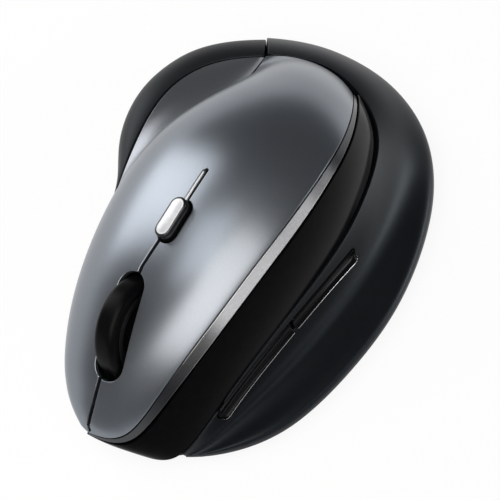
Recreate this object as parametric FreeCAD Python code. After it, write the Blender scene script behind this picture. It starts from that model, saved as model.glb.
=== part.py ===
import FreeCAD, Part
import math
import os
from FreeCAD import Vector

# Right-handed ergonomic mouse. Millimetres, +Z up, +X toward the thumb, -Y toward the fingers.
# The origin is on the desk, under the middle of the mouse.

# Driving dimensions of the skin
parting_z = 4.2
skin_wall = 2.0
trim_depth = 1.5
rubber_wall = 1.8
panel_gap = 0.25
end_gap = 0.35
press_gap = 0.8
flare_gap = 1.3
band_bulge = 0.9
flare_hollow = 1.6
rim_shoulder = 4.6
wing_roll = 2.8
lip_share = 0.4

# Metallic top: control rows from the front lip to the heel, pinky edge first, thumb edge last
top_low = [(-5.0, -60.2, 9.0), (-7.7, -58.6, 9.0), (-11.3, -56.0, 9.2), (-14.3, -52.6, 9.5),
           (-17.4, -48.5, 10.0), (-22.4, -38.5, 11.0), (-26.1, -27.0, 12.5), (-28.6, -14.0, 14.3),
           (-29.4, -2.0, 16.0), (-28.8, 8.2, 17.5), (-25.2, 17.9, 18.4), (-20.0, 27.8, 18.6),
           (-18.2, 38.0, 18.2), (-19.0, 44.8, 17.2)]
top_shoulder = [(-4.6, -60.5, 9.6), (-7.0, -59.8, 11.6), (-10.6, -57.9, 13.5), (-14.3, -54.6, 15.5),
                (-18.5, -50.4, 18.0), (-24.4, -40.0, 23.0), (-28.4, -27.5, 27.5), (-30.6, -14.0, 31.5),
                (-30.8, -1.0, 34.0), (-29.2, 10.7, 34.6), (-25.0, 22.4, 32.8), (-19.8, 33.3, 29.0),
                (-16.0, 43.5, 23.8), (-12.5, 49.5, 17.6)]
top_crest = [(-4.0, -60.8, 9.8), (-2.5, -61.0, 12.2), (-0.5, -59.8, 15.0), (1.0, -57.0, 19.5),
             (1.7, -53.0, 24.5), (1.8, -45.0, 32.5), (2.5, -33.5, 41.3), (3.0, -20.0, 47.0),
             (3.0, -6.0, 50.0), (2.0, 8.0, 50.0), (0.5, 21.0, 46.0), (-1.0, 33.0, 39.5),
             (-2.0, 43.0, 30.5), (-1.5, 50.0, 19.0)]
trim_in = [(-3.4, -61.0, 9.9), (0.4, -61.0, 10.9), (3.9, -60.2, 11.9), (6.5, -58.1, 14.0),
           (8.4, -55.0, 17.9), (11.0, -46.5, 27.1), (14.3, -34.0, 36.2), (16.4, -20.0, 41.4),
           (17.9, -6.0, 44.2), (18.1, 7.0, 44.3), (16.6, 19.0, 40.6), (13.3, 30.0, 34.2),
           (9.3, 38.5, 27.5), (6.0, 44.2, 20.0)]
trim_out = [(-3.5, -61.0, 9.1), (0.3, -61.2, 9.9), (4.1, -60.6, 10.7), (7.5, -58.6, 12.2),
            (9.9, -55.5, 16.2), (13.0, -47.0, 25.0), (16.5, -34.5, 34.3), (18.7, -20.0, 39.7),
            (20.2, -6.0, 42.6), (20.0, 7.0, 42.8), (18.2, 19.0, 39.4), (14.4, 30.2, 33.4),
            (10.0, 39.0, 26.8), (6.5, 44.7, 19.2)]

# Lower edge of the gloss band: round the nose, then along the ridge above the thumb rest
ridge = [(-5.0, -57.4, 4.8), (0.0, -58.0, 4.7), (6.0, -57.9, 4.6), (12.4, -57.2, 4.4),
         (17.5, -54.5, 5.0), (19.4, -47.5, 10.5), (21.6, -36.5, 17.5), (23.8, -22.5, 22.6),
         (25.2, -7.5, 25.0), (25.3, 6.5, 25.2), (23.3, 19.0, 24.2), (20.2, 30.0, 22.4),
         (15.4, 39.0, 20.3), (6.8, 45.4, 18.2)]

# Thumb rest: inner edge under the ridge and round the heel, outer edge at the parting plane,
# and how deep the thumb scoop is at each station (1 is the full scoop, 0 the rounded heel)
wing_in = [(17.3, -53.3, 6.2), (19.1, -50.6, 8.2), (20.6, -42.5, 13.8), (22.6, -30.0, 20.0),
           (24.6, -17.0, 23.6), (25.9, -3.0, 25.0), (25.8, 8.0, 25.0), (23.9, 19.0, 23.9),
           (21.0, 29.5, 22.2), (16.7, 38.2, 20.4), (9.6, 45.0, 18.7), (0.2, 50.1, 17.6),
           (-10.0, 50.4, 16.9), (-19.2, 46.2, 16.2)]
wing_edge = [(17.6, -52.8), (23.0, -49.8), (31.7, -41.2), (36.9, -28.6), (39.6, -13.9),
             (41.0, 1.1), (39.8, 15.4), (36.6, 29.4), (31.7, 41.8), (23.2, 52.9),
             (10.3, 59.9), (-4.0, 61.6), (-16.2, 59.8), (-25.0, 55.6)]
scoop = [0.2, 0.6, 1.0, 1.0, 1.0, 1.0, 0.9, 0.7, 0.45, 0.2, 0.05, 0.0, 0.0, 0.0]

# Pinky side: inner edge of the rubber rim and its outer edge at the parting plane
rim_in = [(-4.5, -58.0, 6.0), (-7.5, -56.6, 6.0), (-11.0, -54.0, 6.0), (-14.5, -50.5, 6.1),
          (-18.0, -46.0, 6.3), (-22.5, -37.0, 7.0), (-26.3, -26.0, 8.0), (-29.5, -13.5, 9.3),
          (-32.8, -1.3, 10.8), (-35.4, 10.8, 12.2), (-36.7, 22.4, 13.0), (-34.8, 33.0, 13.6),
          (-28.3, 41.0, 14.5), (-19.7, 45.1, 16.0)]
rim_edge = [(-5.3, -57.4), (-8.5, -55.6), (-11.8, -53.0), (-15.3, -49.0), (-18.9, -44.7),
            (-23.0, -35.4), (-26.6, -24.7), (-29.9, -12.0), (-34.2, 0.7), (-41.5, 10.3),
            (-45.2, 22.9), (-44.0, 36.0), (-37.5, 48.5), (-25.2, 55.6)]

# Share of the way out and down from the inner to the outer edge of the thumb rest
scoop_out = (0.05, 0.22, 0.72)
scoop_down = (0.55, 0.88, 0.87)
heel_out = (0.35, 0.72, 0.98)
heel_down = (0.12, 0.38, 0.66)

# Finger buttons, the slot between them and the line where they flex
hinge_y = 2.0
hinge_gap = 0.3
seam_points = [(-5.7, -4.0), (-5.8, -13.5), (-7.4, -29.0), (-4.8, -51.5), (-2.8, -62.5)]
seam_width = 0.8
flare_front = -55.0
spine_width = 22.0
spine_wall = 1.5
spine_front = -25.6
spine_rear = 12.0

# Scroll wheel: its plane leans toward the pinky
wheel_tilt = 22.0
wheel_place = (-3.6, -37.7, 21.8)
wheel_radius = 12.5
tyre_width = 6.2
tyre_thickness = 2.4
tyre_crown = 1.6
hub_rim = 1.4
hub_recess = 1.2
hub_collar = 1.8
wheel_slot_length = 25.6
wheel_slot_width = 7.8
wheel_slot_rise = 33.0
axle_radius = 1.5
run_clearance = 0.05
cheek_wall = 1.4
cheek_gap = 0.6
pivot_back = 15.0
pivot_drop = 9.0
pivot_radius = 0.8
arm_reach = 15.6
arm_low = -9.6
arm_high = -7.7
encoder_length = 4.4
encoder_half = 4.2
encoder_low = -7.5
encoder_high = 2.8
rotor_radius = 2.2
rotor_length = 3.2
rotor_gap = 0.3
axle_spare = 0.6
cheek_front = 4.0
cheek_rear = 2.0
cheek_top = 2.2
cheek_low = 2.2
rear_bar_rise = 2.4
bar_depth = 4.4
bar_height = 2.0
click_foot_height = 3.6
ear_wall = 2.0
ear_half = 2.4
ear_gap = 0.3
bridge_start = 2.3
bridge_wall = 1.6
bridge_drop = 3.0

# Pointer speed button on the slot between the finger buttons
mode_center = (-5.7, -17.6)
mode_length = 10.4
mode_width = 4.4
mode_height = 2.4
mode_gap = 0.45
mode_edge = 0.45
mode_tilt = 22.0
mode_slope = 14.0
mode_turn = -7.0

# Side buttons in their slot under the ridge
slot_points = [(-40.8, 11.2), (-18.0, 17.7), (6.5, 15.6)]
slot_height = 4.4
slot_start = 2.0
side_split_y = -17.0
side_split_gap = 0.9
side_clearance = 0.3
side_face = 0.5
lip_proud = 1.3
lip_height = 1.1

# Bottom case, parting step, battery door and feet
foot_height = 0.6
case_floor = 2.8
case_inset = 0.8
case_taper = 2.4
rib_width = 1.6
door_thickness = 1.5
door_clearance = 0.15
door_left = -16.0
door_right = 26.5
door_front = -6.0
door_tongue = 1.2
door_tongue_thickness = 0.7
grip_left = -3.0
grip_right = 13.0
grip_width = 1.0
grip_pitch = 2.4
grip_depth = 0.4
foot_length = 14.0
foot_width = 5.0
foot_places = [(2.0, -50.5, 0.0), (-29.0, 4.0, 80.0), (34.0, -8.0, 80.0), (-30.0, 38.0, 55.0),
               (31.5, 27.0, 108.0)]

# Two cells, their bay, contacts and the stowed radio receiver
cell_radius = 5.25
cell_length = 43.3
cell_tip_radius = 1.9
cell_tip_length = 1.0
cell_gap = 0.5
bay_center_x = -3.5
bay_front = -3.5
bay_wall = 1.2
contact_room = 1.6
contact_plate = 0.4
receiver_size = (14.4, 18.6, 5.6)
receiver_corner = (8.95, 5.0)

# Electronics
board_gap = 2.2
board_thickness = 1.2
board_outline = [(-8.0, -53.0), (5.0, -53.0), (14.0, -46.5), (17.0, -38.0), (17.0, -5.2),
                 (-17.0, -5.2), (-17.0, -36.0), (-15.5, -43.0)]
sensor_place = (-2.0, -10.8)
sensor_size = (9.0, 10.4, 3.0)
lens_radius = 4.0
window_radius = 4.3
switch_size = (6.2, 12.8, 6.0)
plunger_size = (1.4, 2.8, 0.9)
plunger_sweep = 0.45
left_switch_place = (10.9, -38.0)
right_switch_place = (-13.5, -35.0)
button_post_radius = 1.8
tact_size = 6.0
tact_height = 3.4
tact_plunger_radius = 1.6
tact_plunger_height = 0.9
touch_gap = 0.1
wheel_switch_place = (wheel_place[0] + 4.5, wheel_place[1] - arm_reach + 2.3)
wheel_well_spare = 0.35
side_board_x = 14.6
side_board_front = -37.0
side_board_rear = 3.0
side_board_top = 24.0
rest_front = -8.0
forward_switch_place = (-29.5, 15.5)
back_switch_place = (-4.5, 17.7)
chip_size = (7.0, 7.0, 1.0)
chip_place = (-12.6, -21.0)
power_place = (8.0, -30.0)
power_travel = 2.5

# Fasteners
screw_radius = 1.0
screw_head_radius = 2.0
screw_head_height = 1.3
screw_length = 7.0
boss_radius = 2.4
boss_height = 7.0
rim_screw_place = (-38.8, 24.0)
wing_screw_places = [(24.3, -12.0), (20.9, -34.0)]
board_screw_places = [(-13.4, -11.0), (8.6, -11.0)]

# From the drawing's origin to the middle of the finished mouse
origin_shift = Vector(2.05, -0.05, 0.0)

tall = 80.0


# Vectors and control rows

def vec(point):
    if len(point) == 2:
        return Vector(point[0], point[1], parting_z)
    return Vector(*point)


def row(points):
    return [vec(point) for point in points]


def mix(a, b, share):
    return a * (1.0 - share) + b * share


def unit(v):
    length = v.Length
    if length < 1e-9:
        return Vector(0, 0, 0)
    return v * (1.0 / length)


def control_normals(rows, inside):
    """Unit normals at the control points of a patch, pointing to the inside point's side."""
    count = len(rows[0])
    normals = []
    total = 0.0
    for i, points in enumerate(rows):
        line = []
        for j, point in enumerate(points):
            across = rows[min(i + 1, len(rows) - 1)][j] - rows[max(i - 1, 0)][j]
            along = points[min(j + 1, count - 1)] - points[max(j - 1, 0)]
            normal = unit(across.cross(along))
            total += normal.dot(inside - point)
            line.append(normal)
        normals.append(line)
    side = 1.0 if total > 0 else -1.0
    return [[normal * side for normal in line] for line in normals]


core_point = Vector(0, -4, 6)


def inward(rows, depth, before=None, after=None):
    """The patch moved into the mouse by a depth; neighbour rows mitre the edges that they share."""
    full = list(rows)
    if before:
        full = [before] + full
    if after:
        full = full + [after]
    normals = control_normals(full, core_point)
    if before:
        normals = normals[1:]
    result = []
    for line, line_normals in zip(rows, normals):
        result.append([point + normal * depth for point, normal in zip(line, line_normals)])
    return result


def trimmed(rows, first, last):
    """Pulls the first and the last row in along the patch by the gaps given."""
    result = [list(line) for line in rows]
    for j in range(len(rows[0])):
        result[0][j] = rows[0][j] + unit(rows[1][j] - rows[0][j]) * first
        result[-1][j] = rows[-1][j] + unit(rows[-2][j] - rows[-1][j]) * last
    return result


def shortened(rows, front, rear):
    """Pulls the two ends of every row in along the row by the gaps given."""
    result = []
    for line in rows:
        line = list(line)
        line[0] = line[0] + unit(line[1] - line[0]) * front
        line[-1] = line[-1] + unit(line[-2] - line[-1]) * rear
        result.append(line)
    return result


# Patches and the solids between them

def knots_for(count, degree):
    inner = count - degree - 1
    mults = [degree + 1] + [1] * inner + [degree + 1]
    knots = [float(k) for k in range(len(mults))]
    return mults, knots


def patch_face(rows):
    across = min(3, len(rows) - 1)
    along = min(3, len(rows[0]) - 1)
    across_mults, across_knots = knots_for(len(rows), across)
    along_mults, along_knots = knots_for(len(rows[0]), along)
    surface = Part.BSplineSurface()
    surface.buildFromPolesMultsKnots(rows, across_mults, along_mults, across_knots, along_knots,
                                     False, False, across, along)
    return surface.toShape()


def closed_solid(faces):
    shell = Part.makeShell(faces)
    shell.sewShape()
    solid = Part.makeSolid(shell)
    if solid.Volume < 0:
        solid.reverse()
    return solid


def patch_solid(outer, inner):
    """The solid between two patches with the same control net."""
    outer_ends = [[line[0] for line in outer], [line[-1] for line in outer]]
    inner_ends = [[line[0] for line in inner], [line[-1] for line in inner]]
    faces = [patch_face(outer), patch_face(inner)]
    faces.append(patch_face([outer[0], inner[0]]))
    faces.append(patch_face([outer[-1], inner[-1]]))
    faces.append(patch_face([outer_ends[0], inner_ends[0]]))
    faces.append(patch_face([outer_ends[1], inner_ends[1]]))
    return closed_solid(faces)


def panel(rows, near, far, before=None, after=None):
    """A curved plate: the patch moved in by near on its outside and by far on its inside."""
    return patch_solid(inward(rows, near, before, after), inward(rows, far, before, after))


# Plain shapes

def box(low, high):
    size = [high[k] - low[k] for k in range(3)]
    return Part.makeBox(size[0], size[1], size[2], Vector(*low))


def rod(radius, start, axis, length):
    return Part.makeCylinder(radius, length, start, axis)


def centered_box(center, size):
    low = [center[k] - size[k] / 2.0 for k in range(3)]
    high = [center[k] + size[k] / 2.0 for k in range(3)]
    return box(low, high)


def stadium(length, width, low, high):
    """An upright slot shape along Y, centred on the origin."""
    half = (length - width) / 2.0
    body = box((-width / 2.0, -half, low), (width / 2.0, half, high))
    ends = [rod(width / 2.0, Vector(0, y, low), Vector(0, 0, 1), high - low) for y in (-half, half)]
    return body.fuse(ends).removeSplitter()


def placed(shape, position, turns):
    """Turns the shape about the axes given, in order, then moves it."""
    result = shape.copy()
    for axis, angle in turns:
        result.rotate(Vector(0, 0, 0), axis, angle)
    result.translate(position)
    return result


def largest(shape):
    solids = sorted(shape.Solids, key=lambda s: s.Volume)
    return solids[-1]


def inner_part(shape):
    """The piece of a shape that is nearest to the middle of the mouse."""
    solids = sorted(shape.Solids, key=lambda s: (s.CenterOfMass - core_point).Length)
    return solids[0]


def with_post(plate, radius, place, foot, head):
    """The plate with a round upright post inside it, between two heights at most."""
    column = rod(radius, Vector(place[0], place[1], foot), Vector(0, 0, 1), head - foot)
    return plate.fuse(inner_part(column.cut(plate)))


def above_parting(shape):
    return shape.cut(box((-tall, -tall, -tall), (tall, tall, parting_z)))


x_axis = Vector(1, 0, 0)
y_axis = Vector(0, 1, 0)
z_axis = Vector(0, 0, 1)


# Control nets of the skin panels

def top_net():
    return [row(top_low), row(top_shoulder), row(top_crest), row(trim_in)]


def trim_net():
    return [row(trim_in), row(trim_out)]


def band_net():
    """The gloss band, slightly crowned between the trim and the ridge."""
    high = row(trim_out)
    low = row(ridge)
    normals = control_normals([high, low], core_point)
    first = []
    second = []
    for j in range(len(high)):
        crown = normals[0][j] * -band_bulge
        first.append(mix(high[j], low[j], 1.0 / 3.0) + crown)
        second.append(mix(high[j], low[j], 2.0 / 3.0) + crown)
    return [high, first, second, low]


def wing_net():
    """The thumb rest: a scooped wall that rolls over into the outer edge."""
    inner = row(wing_in)
    outer = row(wing_edge)
    middle = [[], [], []]
    shoulder = []
    for j in range(len(inner)):
        reach = Vector(outer[j].x - inner[j].x, outer[j].y - inner[j].y, 0)
        drop = inner[j].z - outer[j].z
        for k in range(3):
            out = scoop_out[k] * scoop[j] + heel_out[k] * (1.0 - scoop[j])
            down = scoop_down[k] * scoop[j] + heel_down[k] * (1.0 - scoop[j])
            middle[k].append(inner[j] + reach * out - z_axis * (drop * down))
        shoulder.append(outer[j] + z_axis * min(wing_roll, drop * lip_share))
    for j in range(len(inner)):
        middle[2][j].z = max(middle[2][j].z, shoulder[j].z)
    return [inner] + middle + [shoulder, outer]


def rim_net():
    """The rubber rim: a broad shoulder that drops to the parting plane."""
    inner = row(rim_in)
    outer = row(rim_edge)
    first = []
    second = []
    for j in range(len(inner)):
        reach = Vector(outer[j].x - inner[j].x, outer[j].y - inner[j].y, 0)
        drop = inner[j].z - outer[j].z
        first.append(inner[j] + reach * 0.5 - z_axis * (drop * 0.06))
        second.append(outer[j] + z_axis * min(rim_shoulder, drop * 0.8))
    return [inner, first, second, outer]


def flare_net():
    """The hollow metallic panel between the top and the rubber rim."""
    high = row(top_low)
    low = row(rim_in)
    normals = control_normals([high, low], core_point)
    first = []
    second = []
    for j in range(len(high)):
        width = (high[j] - low[j]).Length
        hollow = normals[0][j] * (flare_hollow * min(1.0, width / 14.0))
        first.append(mix(high[j], low[j], 1.0 / 3.0) + hollow)
        second.append(mix(high[j], low[j], 2.0 / 3.0) + hollow)
    return [high, first, second, low]


def seam_strip():
    """A thin upright strip along the slot between the finger buttons."""
    centers = [Vector(x, y, 0) for x, y in seam_points]
    near = []
    far = []
    for j, point in enumerate(centers):
        along = unit(centers[min(j + 1, len(centers) - 1)] - centers[max(j - 1, 0)])
        side = along.cross(z_axis) * (seam_width / 2.0)
        near.append(point + side)
        far.append(point - side)
    corners = near + list(reversed(far)) + [near[0]]
    strip = Part.Face(Part.makePolygon(corners)).extrude(z_axis * tall)
    x, y = seam_points[0]
    slit = box((x - hinge_gap / 2.0, y - 1.0, 0), (x + hinge_gap / 2.0, hinge_y, tall))
    return strip.fuse(slit)


def seam_x(y):
    """Where the slot between the finger buttons is at a given Y."""
    previous = seam_points[0]
    if y >= previous[1]:
        return previous[0]
    for point in seam_points[1:]:
        if y >= point[1]:
            share = (y - previous[1]) / (point[1] - previous[1])
            return previous[0] + (point[0] - previous[0]) * share
        previous = point
    return previous[0]


def beside_seam(side, rear):
    """Everything in front of a Y plane on one side of the slot: side -1 pinky, 1 thumb."""
    edge = tall * side
    corners = [Vector(seam_x(rear), rear, 0)]
    corners += [Vector(x, y, 0) for x, y in seam_points]
    corners.append(Vector(seam_x(-tall), -tall, 0))
    corners += [Vector(edge, -tall, 0), Vector(edge, rear, 0), corners[0]]
    return Part.Face(Part.makePolygon(corners)).extrude(Vector(0, 0, tall))


# Local frames of the wheel and of the pointer speed button

wheel_turns = [(y_axis, -wheel_tilt)]


def in_wheel_frame(shape):
    return placed(shape, Vector(*wheel_place), wheel_turns)


def wheel_slot():
    """The opening in the top that the wheel stands out of."""
    slot = stadium(wheel_slot_length, wheel_slot_width, -wheel_radius * 0.3, wheel_radius * 2.0)
    return placed(slot, Vector(*wheel_place), [(x_axis, wheel_slot_rise)] + wheel_turns)


mode_turns = [(z_axis, mode_turn), (x_axis, mode_slope), (y_axis, -mode_tilt)]


def surface_height(rows, x, y):
    """Height of the patch over a place in the plan."""
    line = Part.makeLine(Vector(x, y, 0), Vector(x, y, tall))
    hits = patch_face(rows).common(line)
    near = patch_face(rows).distToShape(line)[1][0][0]
    if hits.Vertexes:
        return max(vertex.Z for vertex in hits.Vertexes)
    return near.z


def mode_origin():
    height = surface_height(top_net(), mode_center[0], mode_center[1])
    return Vector(mode_center[0], mode_center[1], height)


def in_mode_frame(shape):
    return placed(shape, mode_origin(), mode_turns)


# Skin pieces

def top_plate():
    rows = shortened(trimmed(top_net(), 0.0, panel_gap / 2.0), end_gap, 0.0)
    return panel(rows, 0.0, skin_wall, after=row(trim_out))


def opened_top():
    plate = top_plate()
    plate = plate.cut(seam_strip())
    plate = plate.cut(wheel_slot())
    hole = stadium(mode_length + 2 * mode_gap, mode_width + 2 * mode_gap, -6.0, 6.0)
    return plate.cut(in_mode_frame(hole))


def finger_buttons(plate):
    rear = hinge_y - hinge_gap / 2.0
    left = largest(plate.common(beside_seam(1, rear)))
    right = largest(plate.common(beside_seam(-1, rear)))
    foot = switch_top() + plunger_size[2] + touch_gap
    left = with_post(left, button_post_radius, left_switch_place, foot, tall)
    right = with_post(right, button_post_radius, right_switch_place, foot, tall)
    return left, right


def palm_cover(plate):
    behind = box((-tall, hinge_y + hinge_gap / 2.0, 0), (tall, tall, tall))
    cover = largest(plate.common(behind))
    post_y = bay_front + cell_length / 2.0
    return with_post(cover, boss_radius, (bay_center_x, post_y), bay_top() + touch_gap, tall)


def trim_pieces():
    rows = shortened(trimmed(trim_net(), panel_gap / 2.0, 0.0), seam_width, 0.0)
    strip = panel(rows, 0.0, trim_depth, before=row(top_crest), after=band_net()[1])
    front = box((-tall, -tall, 0), (tall, hinge_y - hinge_gap / 2.0, tall))
    rear = box((-tall, hinge_y + hinge_gap / 2.0, 0), (tall, tall, tall))
    return largest(strip.common(front)), largest(strip.common(rear))


def slot_circle():
    """Middle line of the side button slot in the YZ plane: its points, centre and radius."""
    points = [Vector(0, y, z) for y, z in slot_points]
    circle = Part.Arc(*points).toShape().Curve
    return points, circle.Center, circle.Radius


def slot_arc(points, rise):
    """The slot's middle line moved across itself, upward when rise is positive."""
    middle, center, radius = slot_circle()
    if center.z > middle[1].z:
        rise = -rise
    moved = [center + unit(point - center) * (radius + rise) for point in points]
    return Part.Arc(*moved).toShape()


def slot_ends(reach):
    """The points where the middle line ends when it is carried on by a reach at both ends."""
    points, center, radius = slot_circle()
    front = unit(x_axis.cross(points[0] - center))
    rear = unit(x_axis.cross(points[2] - center))
    if front.y > 0:
        front = front * -1.0
    if rear.y < 0:
        rear = rear * -1.0
    return [points[0] + front * reach, points[1], points[2] + rear * reach]


def ends_of(edge):
    return edge.Vertexes[0].Point, edge.Vertexes[-1].Point


def side_face_of(upper, lower, front_middle, rear_middle):
    """A face between two arcs; its ends are round when a middle point is given for them."""
    upper_front, upper_rear = ends_of(upper)
    lower_front, lower_rear = ends_of(lower)
    if front_middle:
        front = Part.Arc(upper_front, front_middle, lower_front).toShape()
        rear = Part.Arc(upper_rear, rear_middle, lower_rear).toShape()
    else:
        front = Part.makeLine(upper_front, lower_front)
        rear = Part.makeLine(upper_rear, lower_rear)
    wire = Part.Wire(Part.__sortEdges__([upper, rear, lower, front]))
    return Part.Face(wire)


def slot_prism(clearance):
    """The side button slot, cut out along X."""
    half = slot_height / 2.0 - clearance
    points = slot_ends(0.0)
    tips = slot_ends(half)
    face = side_face_of(slot_arc(points, half), slot_arc(points, -half), tips[0], tips[2])
    face.translate(Vector(side_board_x + slot_start, 0, 0))
    return face.extrude(Vector(tall, 0, 0))


def lip_zone():
    """The lowest strip of the side button slot, where the lip of the buttons is."""
    points = slot_ends(slot_height)
    high = side_clearance + lip_height - slot_height / 2.0
    face = side_face_of(slot_arc(points, high), slot_arc(points, -slot_height), None, None)
    return face.extrude(Vector(tall, 0, 0))


def thumb_wing():
    rows = shortened(trimmed(wing_net(), panel_gap, 0.0), end_gap / 2.0, end_gap)
    shell = above_parting(panel(rows, 0.0, skin_wall))
    shell = largest(shell.cut(slot_prism(0.0)))
    foot = floor_top() + touch_gap
    for place in wing_screw_places:
        shell = with_post(shell, boss_radius, place, foot, foot + boss_height)
        shell = bored_for_screw(shell, place)
    return shell


def gloss_band():
    rows = shortened(trimmed(band_net(), press_gap, panel_gap), end_gap, end_gap)
    return above_parting(panel(rows, 0.0, skin_wall, before=row(trim_in)))


def press_room(y):
    """Gap under the right button: widest at the nose, where the button travels most."""
    share = max(0.0, hinge_y - y) / (hinge_y - top_low[0][1])
    return panel_gap + (flare_gap - panel_gap) * share


def pinky_flare():
    rows = shortened(trimmed(flare_net(), 0.0, panel_gap / 2.0), end_gap, end_gap)
    rows[0] = [point + unit(below - point) * press_room(point.y) for point, below in zip(rows[0], rows[1])]
    plate = above_parting(panel(rows, 0.0, skin_wall, before=row(top_shoulder), after=rim_net()[1]))
    return largest(plate.common(box((-tall, flare_front, 0), (tall, tall, tall))))


def pinky_rim():
    rows = shortened(trimmed(rim_net(), panel_gap, 0.0), end_gap, end_gap)
    shell = above_parting(panel(rows, 0.0, rubber_wall, before=flare_net()[2]))
    shell = largest(shell.cut(pinky_flare()))
    foot = floor_top() + touch_gap
    shell = with_post(shell, boss_radius, rim_screw_place, foot, foot + boss_height)
    return bored_for_screw(shell, rim_screw_place)


def side_button(front, rear, switch_place):
    """One bar in the side slot: a low face above a proud lip, with a stem to its switch."""
    rows = wing_net()
    outline = slot_prism(side_clearance).common(box((0, front, 0), (tall, rear, tall)))
    depth = skin_wall * 0.9
    face = panel(rows, -side_face, depth).common(outline)
    lip = panel(rows, -lip_proud, depth).common(outline).common(lip_zone())
    bar = largest(face.fuse(lip).removeSplitter())
    stem_start = side_board_x + board_thickness + tact_height + tact_plunger_height + touch_gap
    stem = rod(tact_plunger_radius, Vector(stem_start, switch_place[0], switch_place[1]), x_axis, tall)
    stem = sorted(stem.cut(bar).Solids, key=lambda s: s.CenterOfMass.x)[0]
    return bar.fuse(stem)


# Bottom case

def floor_top():
    return foot_height + case_floor


def board_bottom():
    return floor_top() + board_gap


def board_top():
    return board_bottom() + board_thickness


def switch_top():
    return board_top() + switch_size[2]


def bay_floor():
    return foot_height + door_thickness + door_clearance


def bay_top():
    return bay_floor() + 2 * cell_radius + cell_gap + bay_wall


def plan_row(points, inset, height):
    """A row dropped to one height and moved toward the middle of the mouse."""
    flat = [Vector(point.x, point.y, height) for point in points]
    result = []
    for j, point in enumerate(flat):
        along = flat[min(j + 1, len(flat) - 1)] - flat[max(j - 1, 0)]
        side = unit(along.cross(z_axis))
        if side.dot(Vector(-point.x, -point.y, 0)) < 0:
            side = side * -1.0
        result.append(point + side * inset)
    return result


def curve_edge(points):
    degree = min(3, len(points) - 1)
    mults, knots = knots_for(len(points), degree)
    curve = Part.BSplineCurve()
    curve.buildFromPolesMultsKnots(points, mults, knots, False, degree)
    return curve.toShape()


def case_wire(inset, height):
    """Closed outline of the case in plan: nose, thumb side and heel, pinky side."""
    wing = plan_row(row(wing_edge), inset, height)
    rim = plan_row(row(rim_edge), inset, height)
    heel = mix(wing[-1], rim[-1], 0.5)
    wing[-1] = heel
    rim[-1] = heel
    nose = [rim[0]] + plan_row(row(ridge[1:4]), inset, height) + [wing[0]]
    return Part.Wire([curve_edge(nose), curve_edge(wing), curve_edge(list(reversed(rim)))])


def case_slab(low, high, low_inset, high_inset):
    return Part.makeLoft([case_wire(low_inset, low), case_wire(high_inset, high)], True, True)


def door_blank(shrink):
    """The battery door with its side tongues, long enough to reach past the heel."""
    left = door_left + shrink
    right = door_right - shrink
    front = door_front + shrink
    plate = box((left, front, foot_height - 1.0), (right, tall, foot_height + door_thickness - shrink))
    tongue_low = foot_height + door_thickness - door_tongue_thickness
    tongue = box((left - door_tongue, front, tongue_low + shrink),
                 (right + door_tongue, tall, foot_height + door_thickness - shrink))
    return plate.fuse(tongue)


def battery_door():
    hull = case_slab(foot_height, parting_z - panel_gap, case_inset + case_taper, case_inset)
    door = largest(hull.common(door_blank(door_clearance)))
    for k in range(3):
        front = door_front + 6.0 + grip_pitch * k
        groove = box((grip_left, front, 0), (grip_right, front + grip_width, foot_height + grip_depth))
        door = door.cut(groove)
    return door


def cell_places():
    shift = cell_radius + cell_gap / 2.0
    return [bay_center_x - shift, bay_center_x + shift]


def cell_height():
    return bay_floor() + cell_gap / 2.0 + cell_radius


def bay_length():
    return cell_length + cell_tip_length + 2 * contact_room


def battery_bay():
    half = 2 * cell_radius + cell_gap
    inner_low = (bay_center_x - half, bay_front, 0)
    inner_high = (bay_center_x + half, bay_front + bay_length(), bay_top() - bay_wall)
    outer_low = (inner_low[0] - bay_wall, inner_low[1] - bay_wall, foot_height + door_thickness)
    outer_high = (inner_high[0] + bay_wall, inner_high[1] + bay_wall, bay_top())
    return box(outer_low, outer_high), box(inner_low, inner_high)


def receiver_box(spare):
    low = (receiver_corner[0] - spare, receiver_corner[1] - spare, bay_floor())
    high = (receiver_corner[0] + receiver_size[0] + spare,
            receiver_corner[1] + receiver_size[1] + spare, bay_floor() + receiver_size[2] + spare)
    return low, high


def bottom_case():
    slab_top = parting_z - panel_gap
    hull = case_slab(foot_height, slab_top, case_inset + case_taper, case_inset)
    well = case_slab(floor_top(), slab_top + 1.0, case_inset + case_taper * 0.2 + rib_width,
                     case_inset + rib_width)
    body = hull.cut(well)
    outer, inner = battery_bay()
    pocket_low, pocket_high = receiver_box(0.2)
    nest = box((pocket_low[0] - bay_wall, pocket_low[1] - bay_wall, foot_height + door_thickness),
               (pocket_high[0] + bay_wall, pocket_high[1] + bay_wall, pocket_high[2]))
    body = body.fuse([outer, nest])
    for place in board_screw_places:
        body = body.fuse(rod(boss_radius, Vector(place[0], place[1], foot_height + 1.0), z_axis,
                             board_bottom() - foot_height - 1.0))
    rest = box((side_board_x - 1.0, side_board_front, foot_height + 1.0),
               (side_board_x + board_thickness + 1.0, side_board_rear, board_top() + 3.0))
    groove = box((side_board_x - run_clearance, side_board_front - 1.0, board_top() + 1.0),
                 (side_board_x + board_thickness + run_clearance, side_board_rear + 1.0, tall))
    rest = rest.cut(groove).common(box((-tall, rest_front, 0), (tall, side_board_rear, tall)))
    body = body.fuse(rest)
    body = body.cut([inner, box(pocket_low, (pocket_high[0], pocket_high[1], tall)), door_blank(0.0)])
    body = body.cut(rod(window_radius, Vector(sensor_place[0], sensor_place[1], 0), z_axis, 10.0))
    for place in [rim_screw_place] + wing_screw_places:
        body = body.cut(screw_hole(place))
    for place in board_screw_places:
        body = body.cut(rod(screw_radius + run_clearance, Vector(place[0], place[1], foot_height + 1.4),
                            z_axis, tall))
    body = body.cut(power_slot())
    return largest(body)


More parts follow.
